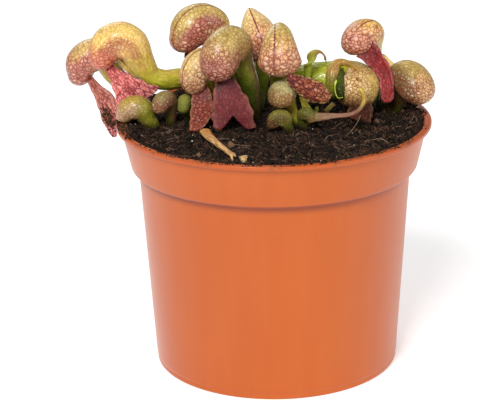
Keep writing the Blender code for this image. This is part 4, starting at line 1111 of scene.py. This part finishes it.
def loose_peat():
    """Crumbs, fibres and perlite grains on the soil."""
    dice = random.Random(11)
    crumbs, strands, grains = Heap(dice), Heap(dice), Heap(dice)
    for _ in range(CRUMB_COUNT):
        x, y = on_soil(dice)
        size = dice.choice(CRUMB_SIZES) * dice.uniform(0.8, 1.2)
        height = fine_soil_height(x, y) + size * dice.uniform(-0.1, 0.35)
        crumbs.lump((x, y, height), size, peat_color(dice), dice.uniform(0.3, 0.8))
    for _ in range(STRAND_COUNT):
        x, y = on_soil(dice)
        lengths, radii, bright = HAIR if dice.random() < HAIR_SHARE else CHIP
        length = dice.uniform(*lengths)
        angle = dice.uniform(0, 2 * pi)
        bend = dice.uniform(-1.2, 1.2)
        points = []
        for t in (k / 3 for k in range(4)):
            px = x + length * t * cos(angle + bend * t)
            py = y + length * t * sin(angle + bend * t)
            if hypot(px, py) < SOIL_EDGE - 0.2:
                lift = 0.5 * dice.random() + 0.7 * sin(pi * t) * dice.random()
                points.append((px, py, fine_soil_height(px, py) + lift))
        if len(points) > 2:
            color = mixed((0.006, 0.003, 0.002), bright, dice.random() ** 1.6)
            strands.fibre(points, dice.uniform(*radii), color)
    for _ in range(GRAIN_COUNT):
        x, y = on_soil(dice)
        grains.lump((x, y, fine_soil_height(x, y) + 0.35), dice.uniform(0.3, 0.75), PERLITE, 0.8)
    crumbs.put("peat_crumbs", CRUMBS)
    strands.put("peat_fibres", FIBRES)
    grains.put("perlite_grains", CRUMBS)


def surface_of(name):
    """A built piece's surface, for placing smaller ones on it."""
    mesh = bpy.data.objects[name].data
    return BVHTree.FromPolygons([v.co for v in mesh.vertices], [tuple(p.vertices) for p in mesh.polygons])


def seen_on(surface, x, y):
    """The point in millimetres and the normal where a pixel of the photograph shows a surface."""
    view = bpy.context.scene.camera.matrix_world
    step = SENSOR / LENS / PHOTO_WIDTH
    ray = Vector(((x - PHOTO_WIDTH / 2) * step, (PHOTO_HEIGHT / 2 - y) * step, -1)).normalized()
    place, normal, _, _ = surface.ray_cast(view.translation, view.to_3x3() @ ray)
    if place is None:
        return None, None
    return vector(*place) / MM, vector(*normal)


TONGUE_SPILL = (104, 110)   # pixel of the photograph where the crumbs on the far left tongue begin
TONGUE_SPILL_RUN = (9, 17)  # pixels from there to where they end
PILE_ANGLES = (205, 246, 270, 292, 322)     # degrees round the pot where crumbs lie on the lip
STRAND_ANGLES = (246, 272, 290, 322)
LEFT_ANGLE = 188
LONE_FIBRES = [     # path, radius and colour: before the lying tongue, and at the curled leaf's end
    ([(24.6, -3.2, 73.6), (23.6, -6.5, 72.6), (21.8, -12.0, 71.9), (19.6, -17.5, 71.4)], 0.12,
     (0.30, 0.18, 0.09)),
    ([(14.9, 3.8, 88.4), (15.2, 3.8, 87.4), (15.0, 3.8, 86.9), (14.2, 3.8, 86.3)], 0.16,
     (0.10, 0.03, 0.02)),
]


def spilt_peat():
    """Crumbs and fibres on the pot's lip and on the far left tongue."""
    dice = random.Random(23)
    crumbs, strands = Heap(dice), Heap(dice)
    for _ in range(LIP_CRUMBS):
        angle = dice.uniform(0, 2 * pi)
        radius = 41.8 + 1.1 * dice.random() ** 1.5 * (1.2 + sin(9 * angle) * sin(4 * angle + 1))
        size = dice.uniform(0.25, 0.75)
        height = POT_HEIGHT - 0.5 * ease(43.0, 42.4, radius) + 0.1 * size
        crumbs.lump(polar(radius, angle, height), size, peat_color(dice))
    for _ in range(PILE_CRUMBS):
        angle = radians(dice.choice(PILE_ANGLES) + dice.gauss(0, 11))
        radius = dice.uniform(42.2, 43.0) if dice.random() < 0.6 else dice.uniform(42.8, 44.9)
        size = dice.uniform(0.2, 0.65)
        height = POT_HEIGHT - 0.35 * ease(43.2, 42.6, radius) + 0.2 * size
        crumbs.lump(polar(radius, angle, height), size, peat_color(dice))
    for _ in range(LEFT_CRUMBS):
        angle = radians(dice.gauss(LEFT_ANGLE, 7))
        place = polar(dice.uniform(42.0, 45.0), angle, POT_HEIGHT + dice.uniform(-0.2, 0.4))
        crumbs.lump(place, dice.uniform(0.3, 1.0), mixed(DARK_PEAT, RUST, dice.random() ** 2))
    tongue = surface_of("tongue_far_left_blade")
    for _ in range(TONGUE_CRUMBS):
        t = dice.random()
        x, y = (start + run * t for start, run in zip(TONGUE_SPILL, TONGUE_SPILL_RUN))
        place, normal = seen_on(tongue, x + dice.gauss(0, 3.0), y + dice.gauss(0, 3.5))
        if place is not None:
            size = dice.uniform(0.2, 0.75)
            crumbs.lump(place + normal * 0.3 * size, size, mixed(DARK_PEAT, RUST, dice.random() ** 1.5))
    for _ in range(LIP_STRANDS):
        angle = radians(dice.choice(STRAND_ANGLES) + dice.gauss(0, 13))
        start = dice.uniform(41.0, 43.6)
        length = dice.uniform(1.5, 4.5)
        side = dice.uniform(-0.08, 0.08)
        points = []
        for t in (k / 3 for k in range(4)):
            lift = 0.15 + 0.5 * sin(pi * t) * dice.random()
            points.append(polar(min(start + length * t * 0.6, 44.8), angle + side * t, POT_HEIGHT + lift))
        strands.fibre(points, dice.uniform(0.05, 0.1), mixed((0.015, 0.006, 0.004), RUST, dice.random()))
    for fibre in LONE_FIBRES:
        strands.fibre(*fibre)
    crumbs.put("spilt_crumbs", CRUMBS)
    strands.put("spilt_fibres", FIBRES)


@dataclass
class Fold:
    """A soft round fold or stalk with two colours along its height.

    Its path holds x, y, z and radius, or, with a carrier, two pixels of the photograph, the radius and how
    far the middle stands off the carrier.
    """
    name: str
    path: list
    low: tuple
    high: tuple
    turn: tuple                 # heights between which the colour changes
    carrier: str = ""
    net: float = 0.45
    mat: object = LEAF

    def places(self):
        if not self.carrier:
            return self.path
        surface = surface_of(self.carrier)
        out = []
        for x, y, radius, lift in self.path:
            place, normal = seen_on(surface, x, y)
            if place is not None:
                out.append((*(place + normal * lift), radius))
        return out

    def build(self):
        path = smooth_path(self.places(), FOLD_STEP)
        rings = []
        reference = vector(1, 0, 0.2)
        for i, point in enumerate(path):
            tangent = tangent_at(path, i)
            reference = unit(reference - tangent * np.dot(reference, tangent))
            rings.append(ring_round(point[:3], reference, np.cross(reference, tangent), point[3], FOLD_SIDES))
        skin = Skin()
        for i, ring in enumerate(rings):
            for k, point in enumerate(ring):
                flow = polar(path[i][3] / FOLD_CELL, 2 * pi * k / FOLD_SIDES, FOLD_STEP * i / (3 * FOLD_CELL))
                ground = mixed(self.low, self.high, ease(*self.turn, point[2] + rough(point, 2.0)))
                skin.add(tuple(point / FOLD_CELL), flow, (*ground, self.net), (*BROWN_INK, 0.0),
                         (1.0, 0.5, NO_KEEL))
        put_mesh(self.name, *loft(rings), self.mat, "leaf_green", skin.looks)


# Paths on the lying hood: pixels of the photograph, radius and lift
SLIT = [(342.5, 68, 0.3, 0.2), (342, 73, 0.8, 0.2), (341.5, 82, 1.2, 0.2), (341.5, 92, 1.2, 0.2),
        (343, 99, 0.6, 0.0)]
MARGIN = [(335, 96, 0.9, 0.0), (333.5, 92, 1.5, 0.4), (332.5, 84, 2.0, 0.6), (333, 74, 2.0, 0.6),
          (336, 67, 1.6, 0.7), (341, 64.5, 1.2, 0.7), (347, 64.5, 0.9, 0.5), (354, 67.5, 0.7, 0.2),
          (360, 72, 0.4, 0.0)]
STRAND = [(341, 74, 0.1, 1.2), (341, 79, 0.16, 1.4), (340.7, 83.5, 0.36, 1.5), (339.6, 89, 0.15, 1.5),
          (339.9, 94.5, 0.15, 1.3), (342, 97, 0.13, 1.2), (344, 96.2, 0.1, 1.0)]
FOLDS = [
    # a near-black fold in the lying hood's slit: painted shade inside its mouth
    Fold("dark_slit", SLIT, (0.02, 0.03, 0.003), (0.05, 0.07, 0.006), (80.0, 86.0), "hood_lying", net=0.0,
         mat=WITHERED),
    Fold("rolled_margin", MARGIN, (0.20, 0.23, 0.015), (0.42, 0.24, 0.05), (80.5, 85.0), "hood_lying",
         net=0.5),
    Fold("green_strand", STRAND, (0.30, 0.42, 0.02), (0.46, 0.58, 0.05), (78.0, 81.0), "hood_lying", net=0.0),
    Fold("tube_wing", [(-44.3, 4.6, 89.2, 0.5), (-42.3, 4.8, 86.9, 1.0), (-40.3, 5.0, 85.2, 1.2),
                       (-38.1, 5.4, 83.4, 1.3), (-35.6, 6.0, 81.9, 1.2), (-33.4, 6.6, 81.3, 0.6)],
         (0.44, 0.38, 0.03), (0.66, 0.46, 0.08), (81.5, 86.0), net=0.5),
    Fold("short_stalk", [(14.4, 8.0, 69.4, 0.7), (15.2, 7.6, 71.6, 0.85), (17.4, 7.0, 74.2, 0.8)],
         (0.16, 0.09, 0.02), (0.34, 0.25, 0.06), (70.5, 74.0)),
    Fold("green_stalk", [(11.4, -1.0, 69.4, 0.55), (11.8, -1.4, 72.6, 0.6), (12.3, -1.8, 75.8, 0.5)],
         (0.26, 0.30, 0.04), (0.34, 0.36, 0.05), (70.5, 74.0)),
]


def camera():
    data = bpy.data.cameras.new("camera")
    data.lens = LENS
    data.sensor_width = SENSOR
    data.clip_start = 0.01
    data.clip_end = 20.0
    azimuth, elevation, roll = (radians(v) for v in CAMERA_TURN)
    turn = Matrix.Rotation(-azimuth, 4, "Z") @ Matrix.Rotation(pi / 2 + elevation, 4, "X")
    turn = turn @ Matrix.Rotation(roll, 4, "Z")
    obj = link_object("camera", data)
    obj.matrix_world = Matrix.Translation(CAMERA_PLACE) @ turn
    bpy.context.scene.camera = obj


def area_light(name, place, size, power):
    """A soft box that faces the middle of the plant."""
    data = bpy.data.lights.new(name, "AREA")
    data.shape = "RECTANGLE"
    data.size, data.size_y = size
    data.energy = power
    obj = link_object(name, data)
    obj.location = place
    obj.rotation_euler = (Vector((0, 0, 0.07)) - Vector(place)).to_track_quat("-Z", "Y").to_euler()


def studio():
    """A pale floor, a white sky and three soft boxes."""
    reach = 3000.0
    corners = [(-reach, -reach, 0), (reach, -reach, 0), (reach, reach, 0), (-reach, reach, 0)]
    add_object("floor", corners, [(0, 1, 2, 3)], floor_material())
    world = bpy.data.worlds.new("studio")
    world.use_nodes = True
    color, strength = world.node_tree.nodes["Background"].inputs[:2]
    color.default_value = (1, 1, 1, 1)
    strength.default_value = 0.36
    bpy.context.scene.world = world
    bpy.context.scene.view_settings.view_transform = "Standard"
    area_light("key", (-0.25, -0.78, 0.78), (0.4, 0.4), 11.5)
    area_light("side", (0.8, -0.3, 0.45), (0.3, 0.7), 2.6)
    area_light("back", (-0.4, 0.8, 0.6), (0.6, 0.4), 2.5)


camera()
studio()
pot()
soil()
loose_peat()
for piece in (*PITCHERS, *LEAVES, *FOLDS):
    piece.build()
spilt_peat()
for node, material in (("dry_stub_middle", RIND), ("rhizome", RIND), ("dry_stub_front", FLAKE)):
    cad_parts[node].material_slots[0].material = material
